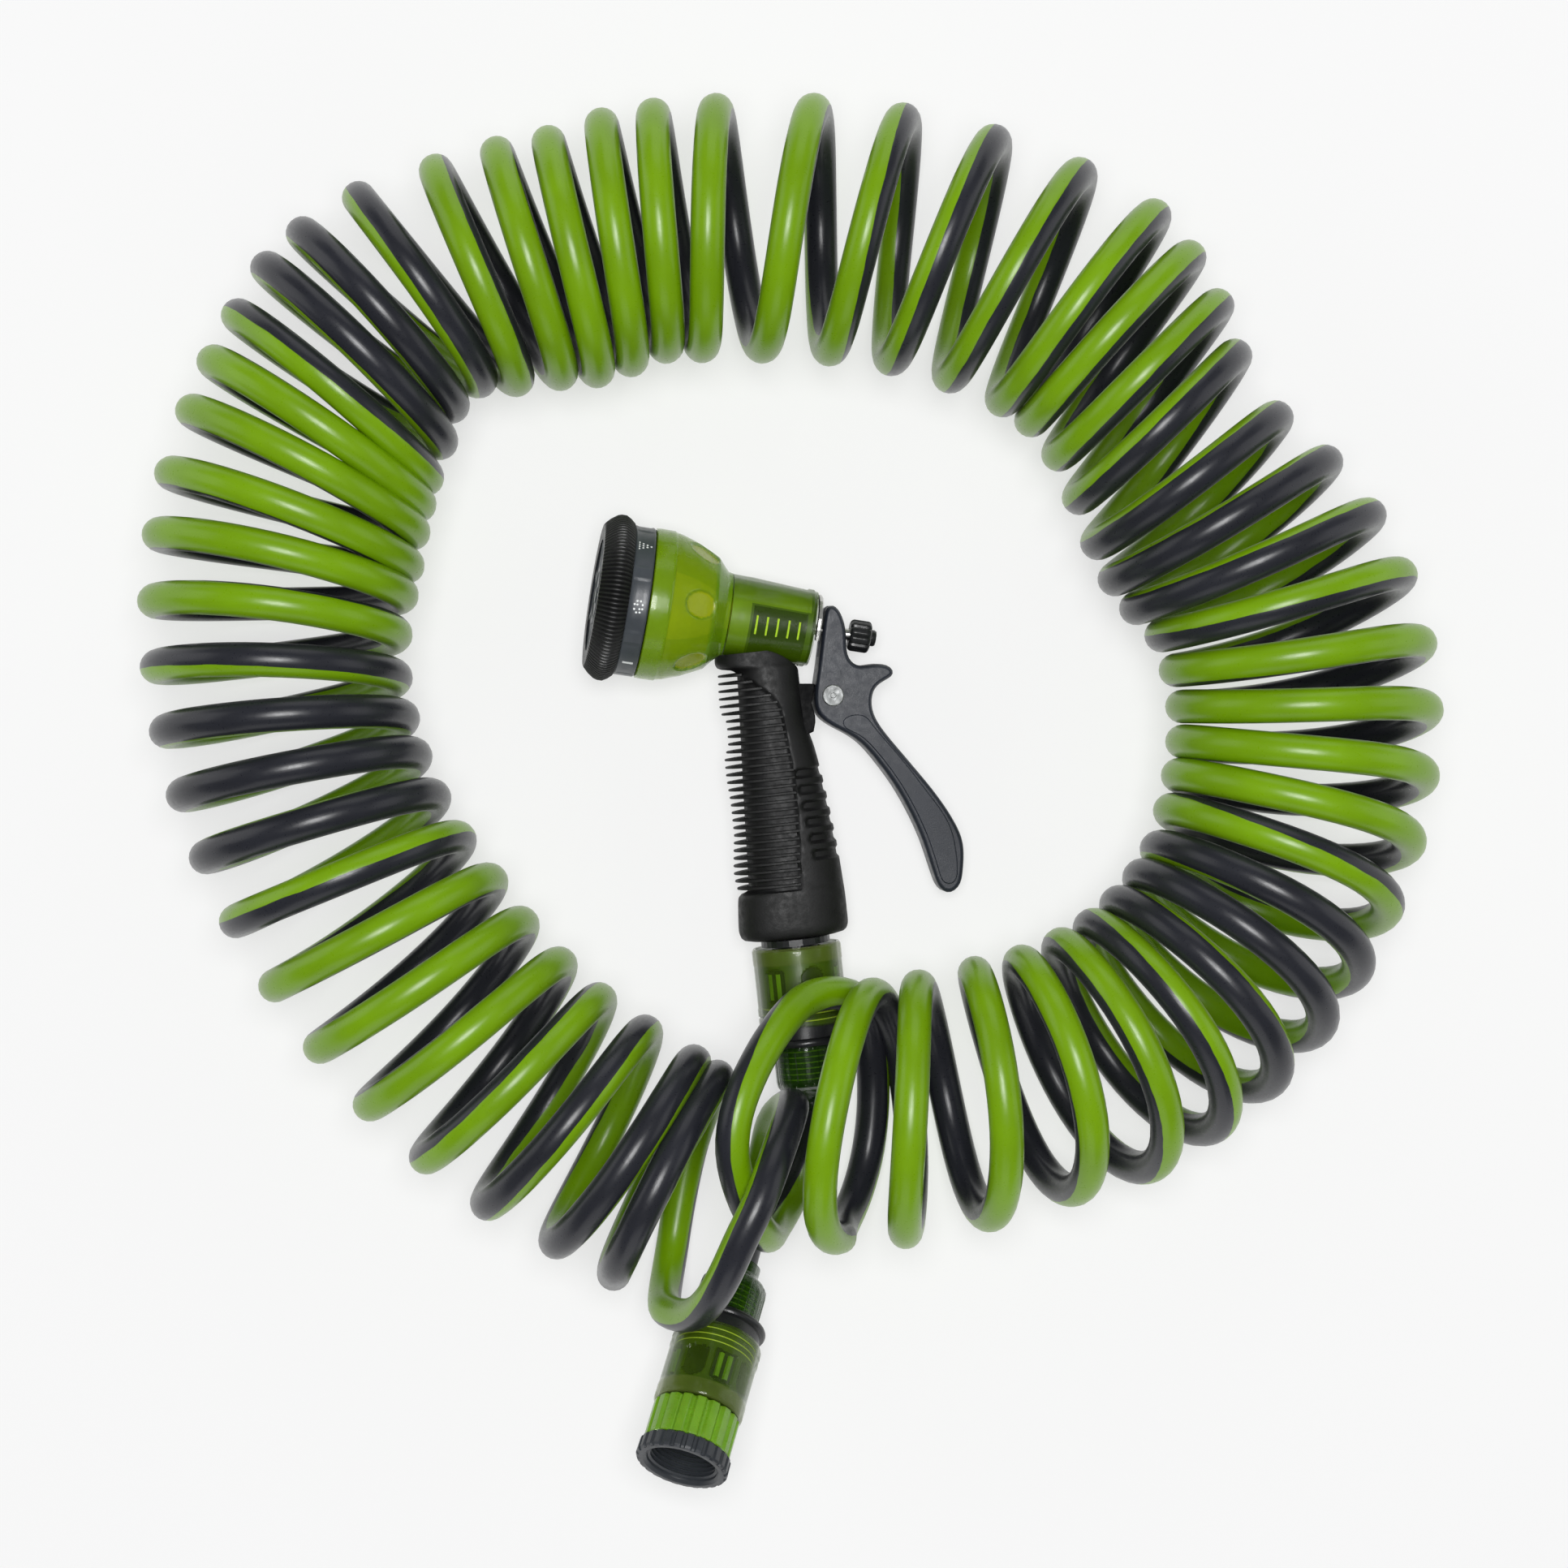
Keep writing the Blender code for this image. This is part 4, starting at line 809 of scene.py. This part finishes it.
def makeBarrel():
    barrel, start = shell["barrel"], shell["barrelStart"]
    inner = [(13.4, barrel[-1][1]), (14.85, start), (16.0, start)]
    mesh = spun(stepped([(16.0, start)] + barrel, 2.0)[1:] + stepped(inner, 4.0), 128, closed=True)
    finishPiece(mesh, "barrel", barrelPlace, "barrelClear", "gun", "", 30.0)
    finishPiece(spun(stepped(shell["band"], 2.5), 96, closed=True), "inner_band", barrelPlace, "innerBand", "gun")
    toBarrel = barrelPlace.inverted()
    piece = finishPiece(spun(stepped(shell["cone"], 2.5), 96, closed=True), "inner_cone", barrelPlace, "inner",
                        "gun")
    # Painted light: the cone is lit yellow on its side facing up, olive as painted half-shade further round, and the
    # band's green as painted shade beyond
    yellow, olive = shell["coneLitTurns"]
    turns = [abs(math.degrees(around(toBarrel @ polygon.center)[1])) for polygon in piece.data.polygons]
    shareOut(piece, ("coneHalfShade", "innerBand"), [0 if turn < yellow else 1 if turn < olive else 2 for turn in turns])
    piece = finishPiece(spun(stepped(shell["liner"], 1.0), 120, closed=True), "barrel_liner", barrelPlace, "liner",
                        "gun", "", 30.0)
    # The dark patch below the spring, partly the black valve core seen through and partly painted shade, with a
    # mid-tone border, and the dark rim at the barrel's end
    first, last, upper = shell["window"]
    softRim, darkRim = shell["linerRim"]
    kinds = []
    for polygon in piece.data.polygons:
        reach, turn, height = around(toBarrel @ polygon.center)
        inside = min(height - first, last - height, (upper + math.degrees(turn)) * 0.24)
        dark = inside > 1.0 or height > darkRim
        kinds.append(0 if height <= softRim and inside <= 0.0 else 2 if dark else 1)
    shareOut(piece, ("linerShade", "deepGreen"), kinds)
    # Painted highlights: short glowing arcs over part of each spring turn, where the glints show
    start, sweep = map(math.radians, shell["springSweep"])
    finishPiece(hoops(shell["springTurns"], 0.4, 8, 12, start, sweep), "spring_glints_painted", barrelPlace, "glint", "gun")


valve = {
    "knob": [(2.6, 91.2), (5.0, 91.2), (5.7, 91.7), (6.0, 92.4), (6.0, 98.0), (5.7, 98.7), (5.0, 99.2),
             (2.6, 99.2)],
    "knobFlutes": 10,
    "flutedFrom": 4.9,
    "fluteDepth": 0.75,
    "tip": [(0.0, 99.3), (3.1, 99.3), (3.1, 100.6), (2.7, 101.3), (0.0, 101.3)],
}


def makeKnob():
    flutes = valve["knobFlutes"]
    mesh = spun(stepped(valve["knob"], 1.2), flutes * 12, closed=True)
    for vert in mesh.verts:
        reach, turn, _ = around(vert.co)
        if reach > valve["flutedFrom"]:
            pressIn(vert, max(0.0, math.cos(flutes * turn)) ** 2 * valve["fluteDepth"])
    finishPiece(mesh, "knob_body", barrelPlace, "black", "knob", "flow_knob", 50.0)
    finishPiece(spun(valve["tip"], 24), "knob_tip", barrelPlace, "black", "knob")


# Handle: soft black rubber with comb fins on one side and slots on the other

handle = {
    # Along the handle, then reach to the fins' roots, to the back, and half the thickness
    "sections": [(-3.0, 17.5, 13.0, 12.2), (0.0, 17.8, 13.0, 12.5), (2.2, 16.8, 13.0, 12.7), (3.4, 11.5, 13.0, 12.8),
                 (5.0, 10.0, 13.0, 12.9), (8.0, 10.1, 13.0, 13.0), (22.0, 10.8, 13.3, 13.4),
                 (36.0, 11.6, 16.2, 13.9), (52.0, 12.5, 18.6, 14.4), (74.0, 13.6, 20.8, 14.9),
                 (86.0, 14.3, 21.5, 15.0), (87.6, 17.2, 21.6, 15.0), (89.0, 18.4, 21.7, 15.1),
                 (94.0, 19.0, 21.8, 15.1), (101.0, 19.5, 21.8, 14.9), (103.6, 19.0, 21.2, 14.4),
                 (105.0, 17.6, 19.6, 13.4), (105.45, 15.0, 17.0, 11.6)],
    "rowStep": 0.62,
    "aroundSteps": 144,
    "ribDrop": 1.5,
    "ribbed": (4.0, 87.0),
    # Along the handle, and how far across the ribs reach towards the back
    "ribEdge": [(3.0, -12.0), (7.5, -6.0), (9.6, -3.6), (14.0, 1.2), (18.9, 4.0), (28.9, 5.0), (45.3, 6.3),
                (64.0, 5.8), (83.1, 4.4), (87.0, 4.2)],
    "fins": 29,
    "firstFin": 5.0,
    "finPitch": 2.86,
    "finThick": 1.15,
    "finEdge": 0.22 * mm,
    # Along the handle, and how far the fins' tips reach
    "finTips": [(5.0, 17.2), (16.0, 17.9), (19.5, 17.4), (23.0, 15.9), (31.0, 16.2), (36.0, 18.1), (42.0, 18.2),
                (54.0, 17.6), (64.0, 17.6), (70.0, 18.3), (80.0, 19.2), (86.0, 18.4)],
    # Slots: where each starts across, and its place along
    "slots": [(6.4, 44.0), (7.2, 50.2), (7.9, 56.3), (8.5, 62.5), (9.3, 68.6), (9.9, 74.8)],
    "slotHalf": 1.55,
    "slotDepth": 2.1,
    "slotNotch": 0.7,            # at the back, where it shows from the side
    "slotSlope": 0.7,            # width of its sloping sides
    "slotRound": 1.7,
    # Along the barrel, and how far below its axis the handle's top is cut
    "seat": [(30.0, 27.0), (36.0, 22.5), (40.0, 18.8), (43.0, 16.3), (90.0, 16.15)],
    "seatRows": 40,
}


def handleRing(v):
    # Middle, reach and half thickness of the oval there, and where its ribs end
    front, back, half = [between(handle["sections"], v, column) for column in (1, 2, 3)]
    return (back - front) / 2, (back + front) / 2, half, between(handle["ribEdge"], v)


def makeGrip():
    # A lofted oval; ribs and slots are pressed into it, and the barrel's seat into its top
    mesh = bmesh.new()
    first, last = handle["sections"][0][0], handle["sections"][-1][0]
    count = round((last - first) / handle["rowStep"])
    rings = [bmesh.ops.create_circle(mesh, segments=handle["aroundSteps"], radius=1.0)["verts"]]
    edges = list({edge for vert in rings[0] for edge in vert.link_edges})
    for _ in range(count):
        made = bmesh.ops.extrude_edge_only(mesh, edges=edges)["geom"]
        rings.append([item for item in made if isinstance(item, bmesh.types.BMVert)])
        fresh = set(rings[-1])
        edges = [item for item in made if isinstance(item, bmesh.types.BMEdge) and set(item.verts) <= fresh]
    ribStart, ribEnd = handle["ribbed"]
    slotHalf, slope, corner = handle["slotHalf"], handle["slotSlope"], handle["slotRound"]
    for k, ring in enumerate(rings):
        v = first + (last - first) * k / count
        middle, reach, half, edge = handleRing(v)
        for vert in ring:
            turn = math.atan2(vert.co.y, vert.co.x)
            u = math.copysign(abs(math.cos(turn)) ** 0.82, math.cos(turn)) * reach + middle
            z = math.copysign(abs(math.sin(turn)) ** 0.82, math.sin(turn)) * half
            if ribStart < v < ribEnd and u < edge:
                drop = min(1.0, edge - u) * handle["ribDrop"]
                z -= math.copysign(min(abs(z), drop), z)
            for start, along in handle["slots"]:
                if abs(v - along) < slotHalf + slope and u > start - slope:
                    inside = min(slotHalf - abs(v - along), u - start) + slope / 2
                    if u < start + corner:
                        inside = min(inside, 2.1 - math.hypot(start + corner - u, v - along))
                    share = max(0.0, min(1.0, inside / slope))
                    z -= math.copysign(share * handle["slotDepth"], z)
                    u -= share * handle["slotNotch"] * max(0.0, (u - middle) / reach) ** 4
            vert.co = (u * mm, -v * mm, z * mm)
    for ring in (rings[0], rings[-1]):
        bmesh.ops.contextual_create(mesh, geom=ring)
    toGun = gunPlace.inverted() @ handlePlace
    toHandle = toGun.inverted()
    for ring in rings[:handle["seatRows"]]:
        for vert in ring:
            spot = toGun @ vert.co
            seat = between(handle["seat"], spot.x / mm) * mm
            if abs(spot.z) < seat:
                spot.y = min(spot.y, -math.sqrt(seat * seat - spot.z * spot.z))
            vert.co = toHandle @ spot
    bmesh.ops.recalc_face_normals(mesh, faces=mesh.faces)
    finishPiece(mesh, "grip_body", handlePlace, "rubber", "gun", "grip", 45.0)


def makeFins():
    # Each fin wraps the handle's front from one side to the other
    fins = bmesh.new()
    for k in range(handle["fins"]):
        v = handle["firstFin"] + handle["finPitch"] * k
        middle, reach, half, edge = handleRing(v)
        front = reach - middle
        tip = between(handle["finTips"], v)
        outline = []
        for j in range(25):
            turn = math.pi / 2 + math.pi * j / 24
            share = -math.cos(turn)
            u = edge - share * (edge + tip)
            # The fin keeps to the oval or, out of it, bulges to its own tip
            hull = abs((u - middle) / reach)
            body = half * (max(0.0, 1 - min(1.0, hull) ** 2.44)) ** 0.41 if hull < 1 else 0.0
            z = max(body, half * 0.98 * math.sqrt(max(0.0, 1 - abs(share) ** 2.6)))
            thin = 0.35 * max(0.0, -front - u) / max(0.1, tip - front)
            outline.append((u * mm, (handle["finThick"] * (1.0 - thin) / 2 - v) * mm,
                            math.copysign(z, math.sin(turn)) * mm))
        base = fins.faces.new([fins.verts.new(spot) for spot in outline])
        made = bmesh.ops.extrude_face_region(fins, geom=[base], use_keep_orig=True)["geom"]
        for item in made:
            if isinstance(item, bmesh.types.BMVert):
                item.co.y = -2 * v * mm - item.co.y
    bmesh.ops.recalc_face_normals(fins, faces=fins.faces)
    rims = [edge for edge in fins.edges if abs(edge.calc_face_angle(0.0)) > 1.2]
    bmesh.ops.bevel(fins, geom=rims, offset=handle["finEdge"], offset_type="OFFSET", affect="EDGES", segments=1,
                    profile=0.5, material=-1, clamp_overlap=True)
    finishPiece(fins, "grip_fins", handlePlace, "rubber", "gun", "", 35.0)


# Trigger: a broad lever on a riveted pivot

trigger = {
    "outline": [(80.3, 9.0), (81.5, 10.2), (84.0, 9.9), (87.0, 6.2), (89.1, 1.0), (90.5, -6.4), (92.6, -10.0),
                (96.4, -11.4), (101.0, -9.6), (106.1, -8.9), (109.6, -10.2), (110.4, -12.4), (104.9, -16.2),
                (102.6, -19.8), (103.3, -26.3), (107.0, -31.9), (121.7, -44.9), (131.8, -53.8), (140.6, -63.2),
                (145.6, -71.3), (147.2, -83.1), (146.6, -88.1), (142.4, -91.3), (139.2, -89.4), (135.5, -82.8),
                (129.0, -70.6), (119.1, -56.8), (109.9, -47.1), (99.8, -38.9), (85.7, -33.4), (82.0, -29.0),
                (81.0, -23.0), (80.8, -13.2)],
    "half": 6.0,
    "headHalf": 8.5,
    "rise": (-90.0, 62.0),       # where the blade starts to thicken, and over which length
    "fork": 2.7,                 # the rod passes between the two halves of the head
    "forkFloor": -9.5,
    "edge": 1.5 * mm,
    "cuts": 16,
    "firstCut": -89.0,
    "cutPitch": 4.0,
    # Both edges of the blade, for its raised panel
    "blade": [((90.5, -34.6), (101.6, -27.5)), ((99.8, -38.9), (106.4, -31.4)), ((109.9, -47.1), (117.9, -41.1)),
              ((119.1, -56.8), (128.0, -50.4)), ((129.0, -70.6), (141.0, -64.0)), ((135.5, -82.8), (146.6, -78.8)),
              ((138.4, -88.0), (147.0, -86.0))],
    "panelInset": 2.1,
    "rivet": (87.6 * mm, -23.6 * mm, 0.0),
    "rivetProfile": [(0.0, -10.4), (3.7, -10.35), (4.0, -10.0), (4.0, -8.9), (2.0, -8.9), (2.0, 8.9), (4.0, 8.9),
                     (4.0, 10.0), (3.7, 10.35), (1.1, 10.4), (0.9, 10.2), (0.0, 10.2)],
    "bracket": [(73.9, -21.4), (80.3, -20.4), (80.3, -27.6), (82.3, -32.0), (82.8, -34.5), (82.7, -38.1),
                (79.6, -40.2)],
    "bracketHalf": 8.0,
}


def smoothOutline(points, step):
    # A smooth closed curve through the points, from the first one around to it
    spots = [Vector((x, y, 0)) for x, y in points]
    dense = flowThrough(spots[-2:] + spots + spots[:3], step)
    halfway = len(dense) / 2
    begin = min(range(len(dense)), key=lambda i: (dense[i] - spots[0]).length + (0 if i < halfway else 99))
    end = min(range(len(dense)), key=lambda i: (dense[i] - spots[0]).length + (0 if i > halfway else 99))
    return [(spot.x, spot.y) for spot in dense[begin:end]]


def slab(outline, low, high, edge=0.0):
    # An outline in millimetres raised between two heights, its upper rim rounded
    mesh = bmesh.new()
    base = mesh.faces.new([mesh.verts.new((x * mm, y * mm, low * mm)) for x, y in outline])
    made = bmesh.ops.extrude_face_region(mesh, geom=[base], use_keep_orig=True)["geom"]
    bmesh.ops.translate(mesh, vec=(0, 0, (high - low) * mm),
                        verts=[item for item in made if isinstance(item, bmesh.types.BMVert)])
    bmesh.ops.recalc_face_normals(mesh, faces=mesh.faces)
    if edge:
        rims = [item for item in mesh.edges if all(vert.co.z > (high - 0.01) * mm for vert in item.verts)]
        bmesh.ops.bevel(mesh, geom=rims, offset=edge, offset_type="OFFSET", affect="EDGES", segments=4,
                        profile=0.5, material=-1, clamp_overlap=True)
        # A narrow border keeps the flat top's shading flat
        top = max(mesh.faces, key=lambda item: (round(item.calc_center_median().z * 1e5), item.calc_area()))
        bmesh.ops.inset_region(mesh, faces=[top], thickness=0.12 * mm, depth=0.0)
    return mesh


def cutAcross(mesh):
    # Cross cuts, so that the thickness can change smoothly along the lever
    for k in range(trigger["cuts"]):
        level = (trigger["firstCut"] + trigger["cutPitch"] * k) * mm
        bmesh.ops.bisect_plane(mesh, geom=mesh.verts[:] + mesh.edges[:] + mesh.faces[:], plane_co=(0, level, 0),
                               plane_no=(0, 1, 0))


def headRise(y):
    # Half the lever's thickness at a place along it
    start, length = trigger["rise"]
    share = max(0.0, min(1.0, (y / mm - start) / length))
    share = share * share * (3 - 2 * share)
    return trigger["half"] + (trigger["headHalf"] - trigger["half"]) * share


def makeTrigger():
    fork, half = trigger["fork"], trigger["half"]
    outline = smoothOutline(trigger["outline"], 1.6)
    for name, stands in (("lever_top", "trigger_lever"), ("lever_under", "")):
        mesh = slab(outline, fork, half, trigger["edge"])
        cutAcross(mesh)
        for vert in mesh.verts:
            if vert.co.z > (fork + 0.01) * mm:
                share = (vert.co.z / mm - fork) / (half - fork)
                vert.co.z = (fork + share * (headRise(vert.co.y) - fork)) * mm
        if name == "lever_under":
            bmesh.ops.scale(mesh, vec=(1, 1, -1), verts=mesh.verts)
            bmesh.ops.reverse_faces(mesh, faces=mesh.faces)
        finishPiece(mesh, name, gunPlace, "slate", "lever", stands, 30.0)
    lower = [spot for spot in outline if spot[1] < trigger["forkFloor"]]
    start = max(range(len(lower)), key=lambda i: math.dist(lower[i], lower[i - 1]))
    finishPiece(slab(lower[start:] + lower[:start], 0.02 - fork, fork - 0.02), "lever_middle", gunPlace, "slate",
                "lever", "", 30.0)
    left, right = [], []
    for (x0, y0), (x1, y1) in trigger["blade"]:
        share = trigger["panelInset"] / math.dist((x0, y0), (x1, y1))
        left.append((x0 + (x1 - x0) * share, y0 + (y1 - y0) * share))
        right.append((x1 - (x1 - x0) * share, y1 - (y1 - y0) * share))
    mesh = slab(smoothOutline(left + right[::-1], 1.6), half - 0.4, half + 0.45, 0.4 * mm)
    cutAcross(mesh)
    for vert in mesh.verts:
        vert.co.z += (headRise(vert.co.y) - half) * mm
    finishPiece(mesh, "lever_panel", gunPlace, "slate", "lever", "", 30.0)
    finishPiece(spun(trigger["rivetProfile"], 32), "rivet_body", gunPlace @ Matrix.Translation(trigger["rivet"]),
                "zinc", "gun", "pivot_rivet")
    high = trigger["bracketHalf"]
    finishPiece(slab(trigger["bracket"], -high, high, 0.5 * mm), "bracket_web", gunPlace, "matte", "gun",
                "trigger_bracket", 30.0)


# Fittings: the same click connector at both ends of the hose

connector = {
    "collar": [(15.4, 0.1), (16.2, 0.0), (16.8, 0.9), (16.9, 1.8), (16.9, 6.2), (16.7, 6.6), (16.7, 22.6),
               (16.9, 23.0), (16.9, 25.4), (16.45, 25.8), (16.45, 26.3), (16.9, 26.7), (16.9, 28.6), (16.3, 30.0),
               (15.4, 30.0)],
    "mouth": 6.4,
    "core": [(9.2, 1.1), (15.1, 1.1), (15.1, 34.4), (16.2, 34.9), (16.6, 35.7), (16.6, 36.6), (16.2, 37.3),
             (14.8, 37.5), (2.0, 37.5), (2.0, 17.8), (9.2, 17.8)],
    "coreReach": 15.1,
    "sleeveEnd": 29.2,
    "windowHalf": 4.6,           # across
    "windowEnds": (7.8, 20.6),
    "windowDepth": 0.9,
    "clawHalf": 1.1,
    "clawAside": 1.9,
    "nut": [(11.4, 37.85), (12.5, 37.9), (12.7, 38.5), (12.7, 51.0), (12.4, 53.2), (11.4, 54.7), (9.4, 56.3),
            (8.2, 57.4), (7.9, 58.4), (7.9, 62.2), (6.9, 62.3), (6.9, 58.4), (10.2, 53.6), (11.2, 51.5)],
    "nutRibs": 24,
    # Both ends, the reach from which on, depth and sharpness
    "nutFlutes": (38.3, 52.8, 11.9, 0.75, 1.5),
    "nutCore": [(2.0, 37.95), (10.9, 37.95), (10.9, 51.3), (9.6, 53.2), (2.0, 53.2)],
    "nutRings": [(10.9, 39.6 + 2.1 * k) for k in range(6)],
    "rings": [(15.1, 22.8), (15.1, 25.2), (15.1, 27.8)],
    "ringThick": 0.24,
}


def fluted(mesh, ribs, low, high, reachFrom, depth, sharpness):
    # Presses grooves along Z into what lies between two heights
    for vert in mesh.verts:
        reach, turn, height = around(vert.co)
        if reach > reachFrom and low < height < high:
            pressIn(vert, max(0.0, math.cos(ribs * turn)) ** sharpness * depth)


def windowKind(reach, turn, height, pairs, first):
    # 0 for plain sleeve, 1 inside a window, painted near-black as painted shade, 2 on one of the claws in every
    # other window, painted lighter green as painted highlight
    pitch = 180.0 / pairs
    turn = math.degrees(turn) - first
    which = round(turn / pitch)
    across = math.radians(turn - which * pitch) * connector["coreReach"]
    low, high = connector["windowEnds"]
    half = connector["windowHalf"]
    if reach <= 15.0 or abs(across) > half:
        return 0
    arch = (1.0 - math.sqrt(1.0 - (across / half) ** 2)) * (4.0 if which % 2 else 1.5)
    if not low + arch < height < high - arch * 0.4:
        return 0
    claw = abs(abs(across) - connector["clawAside"]) < connector["clawHalf"] and low + 1.6 < height < high - 1.4
    return 2 if claw and which % 2 == 0 else 1


def makeConnector(prefix, matrix, release, pairs, first):
    collar = spun(stepped(connector["collar"], 1.5), 128, closed=True)
    mouths = [1 if item.calc_center_median().z < connector["mouth"] * mm else 0 for item in collar.faces]
    tube = finishPiece(collar, prefix + "_collar_tube", matrix, "collarClear", release,
                       prefix + "_collar", 30.0)
    shareOut(tube, ["mouthClear"], mouths)
    core = spun(stepped(connector["core"], 0.7), 200, closed=True)
    kinds = []
    for item in core.faces:
        middle = around(item.calc_center_median())
        kind = windowKind(*middle, pairs, first)
        kinds.append(kind + 1 if kind else 1 if middle[2] < connector["sleeveEnd"] else 0)
    for vert in core.verts:
        if windowKind(*around(vert.co), pairs, first) == 1:
            pressIn(vert, connector["windowDepth"])
    socket = finishPiece(core, prefix + "_socket", matrix, "black", "hose", prefix + "_connector", 30.0)
    shareOut(socket, ("sleeve", "deepGreen", "clawAndThreadGlint"), kinds)
    # Painted highlights: thin glowing rings on the sleeve under the collar
    lines = hoops(connector["rings"], connector["ringThick"], 8, 96)
    lines = finishPiece(lines, prefix + "_ring_glints", matrix, "ringGlintGreen", "hose", "", 60.0)
    nut = spun(stepped(connector["nut"], 1.2), connector["nutRibs"] * 8, closed=True)
    fluted(nut, connector["nutRibs"], *connector["nutFlutes"])
    nut = finishPiece(nut, prefix + "_nut_shell", matrix, "nutClear", "hose", prefix + "_hose_nut")
    core = finishPiece(spun(connector["nutCore"], 48, closed=True), prefix + "_nut_core", matrix, "deepGreen",
                       "hose", "", 30.0)
    # Thread ridges inside the nut, in lighter green as painted highlights
    thread = finishPiece(hoops(connector["nutRings"], 0.28, 6, 72), prefix + "_nut_thread", matrix, "clawAndThreadGlint",
                         "hose", "", 60.0)
    return [tube, socket, lines, nut, core, thread]


tapEnd = {
    "mouth": (-0.034938, -0.228685, 0.052331),
    "toHose": (0.2494, 0.80073, -0.544639),
    "ring": [(8.2, 14.8), (7.6, 15.0), (2.0, 15.0), (2.0, -8.2), (14.75, -8.2), (14.75, -15.4), (14.9, -15.8),
             (16.0, -15.8), (16.3, -15.4), (16.3, -0.9), (16.0, -0.4), (8.2, -0.4)],
    "ringFlutes": 18,
    "flutedFrom": 15.35,
    "fluteDepth": 1.3,
    "rim": [(14.45, -8.9), (14.45, -16.0), (16.6, -16.1), (17.3, -16.7), (17.4, -21.6), (16.9, -22.4),
            (16.2, -22.6), (14.6, -22.6), (14.0, -22.2), (13.4, -21.6)],
    "rimRibs": 26,
    "ribbedFrom": 16.4,
    "rimDepth": 0.8,
    "threadStart": -21.0,
    "threadPitch": 1.81,
    "threadTurns": 7,
}


def makeTapEnd():
    toHose = Vector(tapEnd["toHose"]).normalized()
    side = toHose.cross(Vector((0, 0, 1))).normalized()
    matrix = placeOf(Vector(tapEnd["mouth"]), side, toHose.cross(side), toHose)
    pieces = makeConnector("tap", matrix, "tap_release", 4, -73.0)
    flutes, ribs = tapEnd["ringFlutes"], tapEnd["rimRibs"]
    ring = spun(stepped(tapEnd["ring"], 2.5), flutes * 12, closed=True)
    for vert in ring.verts:
        reach, turn, height = around(vert.co)
        if reach > tapEnd["flutedFrom"] and height < 0:
            pressIn(vert, max(0.0, (math.cos(flutes * turn) - 0.3) / 0.7) ** 0.7 * tapEnd["fluteDepth"])
    ring = finishPiece(ring, "tap_ring", matrix, "green", "hose", "tap_nipple", 28.0)
    thread = []
    for k in range(tapEnd["threadTurns"]):
        low = tapEnd["threadStart"] + tapEnd["threadPitch"] * k
        thread += [(13.25, low), (13.25, low + 0.35), (12.35, low + 0.85), (12.35, low + 1.2)]
    rim = spun(stepped(tapEnd["rim"], 1.5) + thread + [(13.2, -8.9)], ribs * 8, closed=True)
    for vert in rim.verts:
        reach, turn, _ = around(vert.co)
        if reach > tapEnd["ribbedFrom"] and math.cos(ribs * turn) > 0.2:
            pressIn(vert, tapEnd["rimDepth"])
    rim = finishPiece(rim, "tap_nut_ring", matrix, "thread", "tap_nut", "tap_nut", 28.0)
    return pieces + [ring, rim]


def makeGunEnd():
    mouth = Vector((0.001627, -0.057382, 0.019148))
    matrix = placeOf(mouth, handlePlace.col[0].to_3d(), gunUp, handleAxis)
    makeConnector("gun", matrix, "gun_release", 3, 15.0)


# CAD parts that stay in view; the others are replaced and only get a plain look
shownParts = {"valve_core": "black", "valve_spring": "steel", "valve_rod": "steel", "wire_clip": "steel",
              "tail_nipple": "black"}


def paintParts():
    for name in nodes:
        mesh = nodes[name].data
        mesh.materials.clear()
        mesh.materials.append(looks[shownParts.get(name, "black")])
    print("CAD parts painted")


bpy.context.scene.view_settings.view_transform = "Standard"
makeCamera()
makeStudio()
makeLooks()
makeBumper()
makeFace()
makeIconCollar()
print("dial done")
makeBell()
makeBarrel()
makeKnob()
print("barrel done")
makeGrip()
makeFins()
makeTrigger()
print("handle and trigger done")
makeGunEnd()
makeHose(makeTapEnd())
print("fittings and hose done")
paintParts()
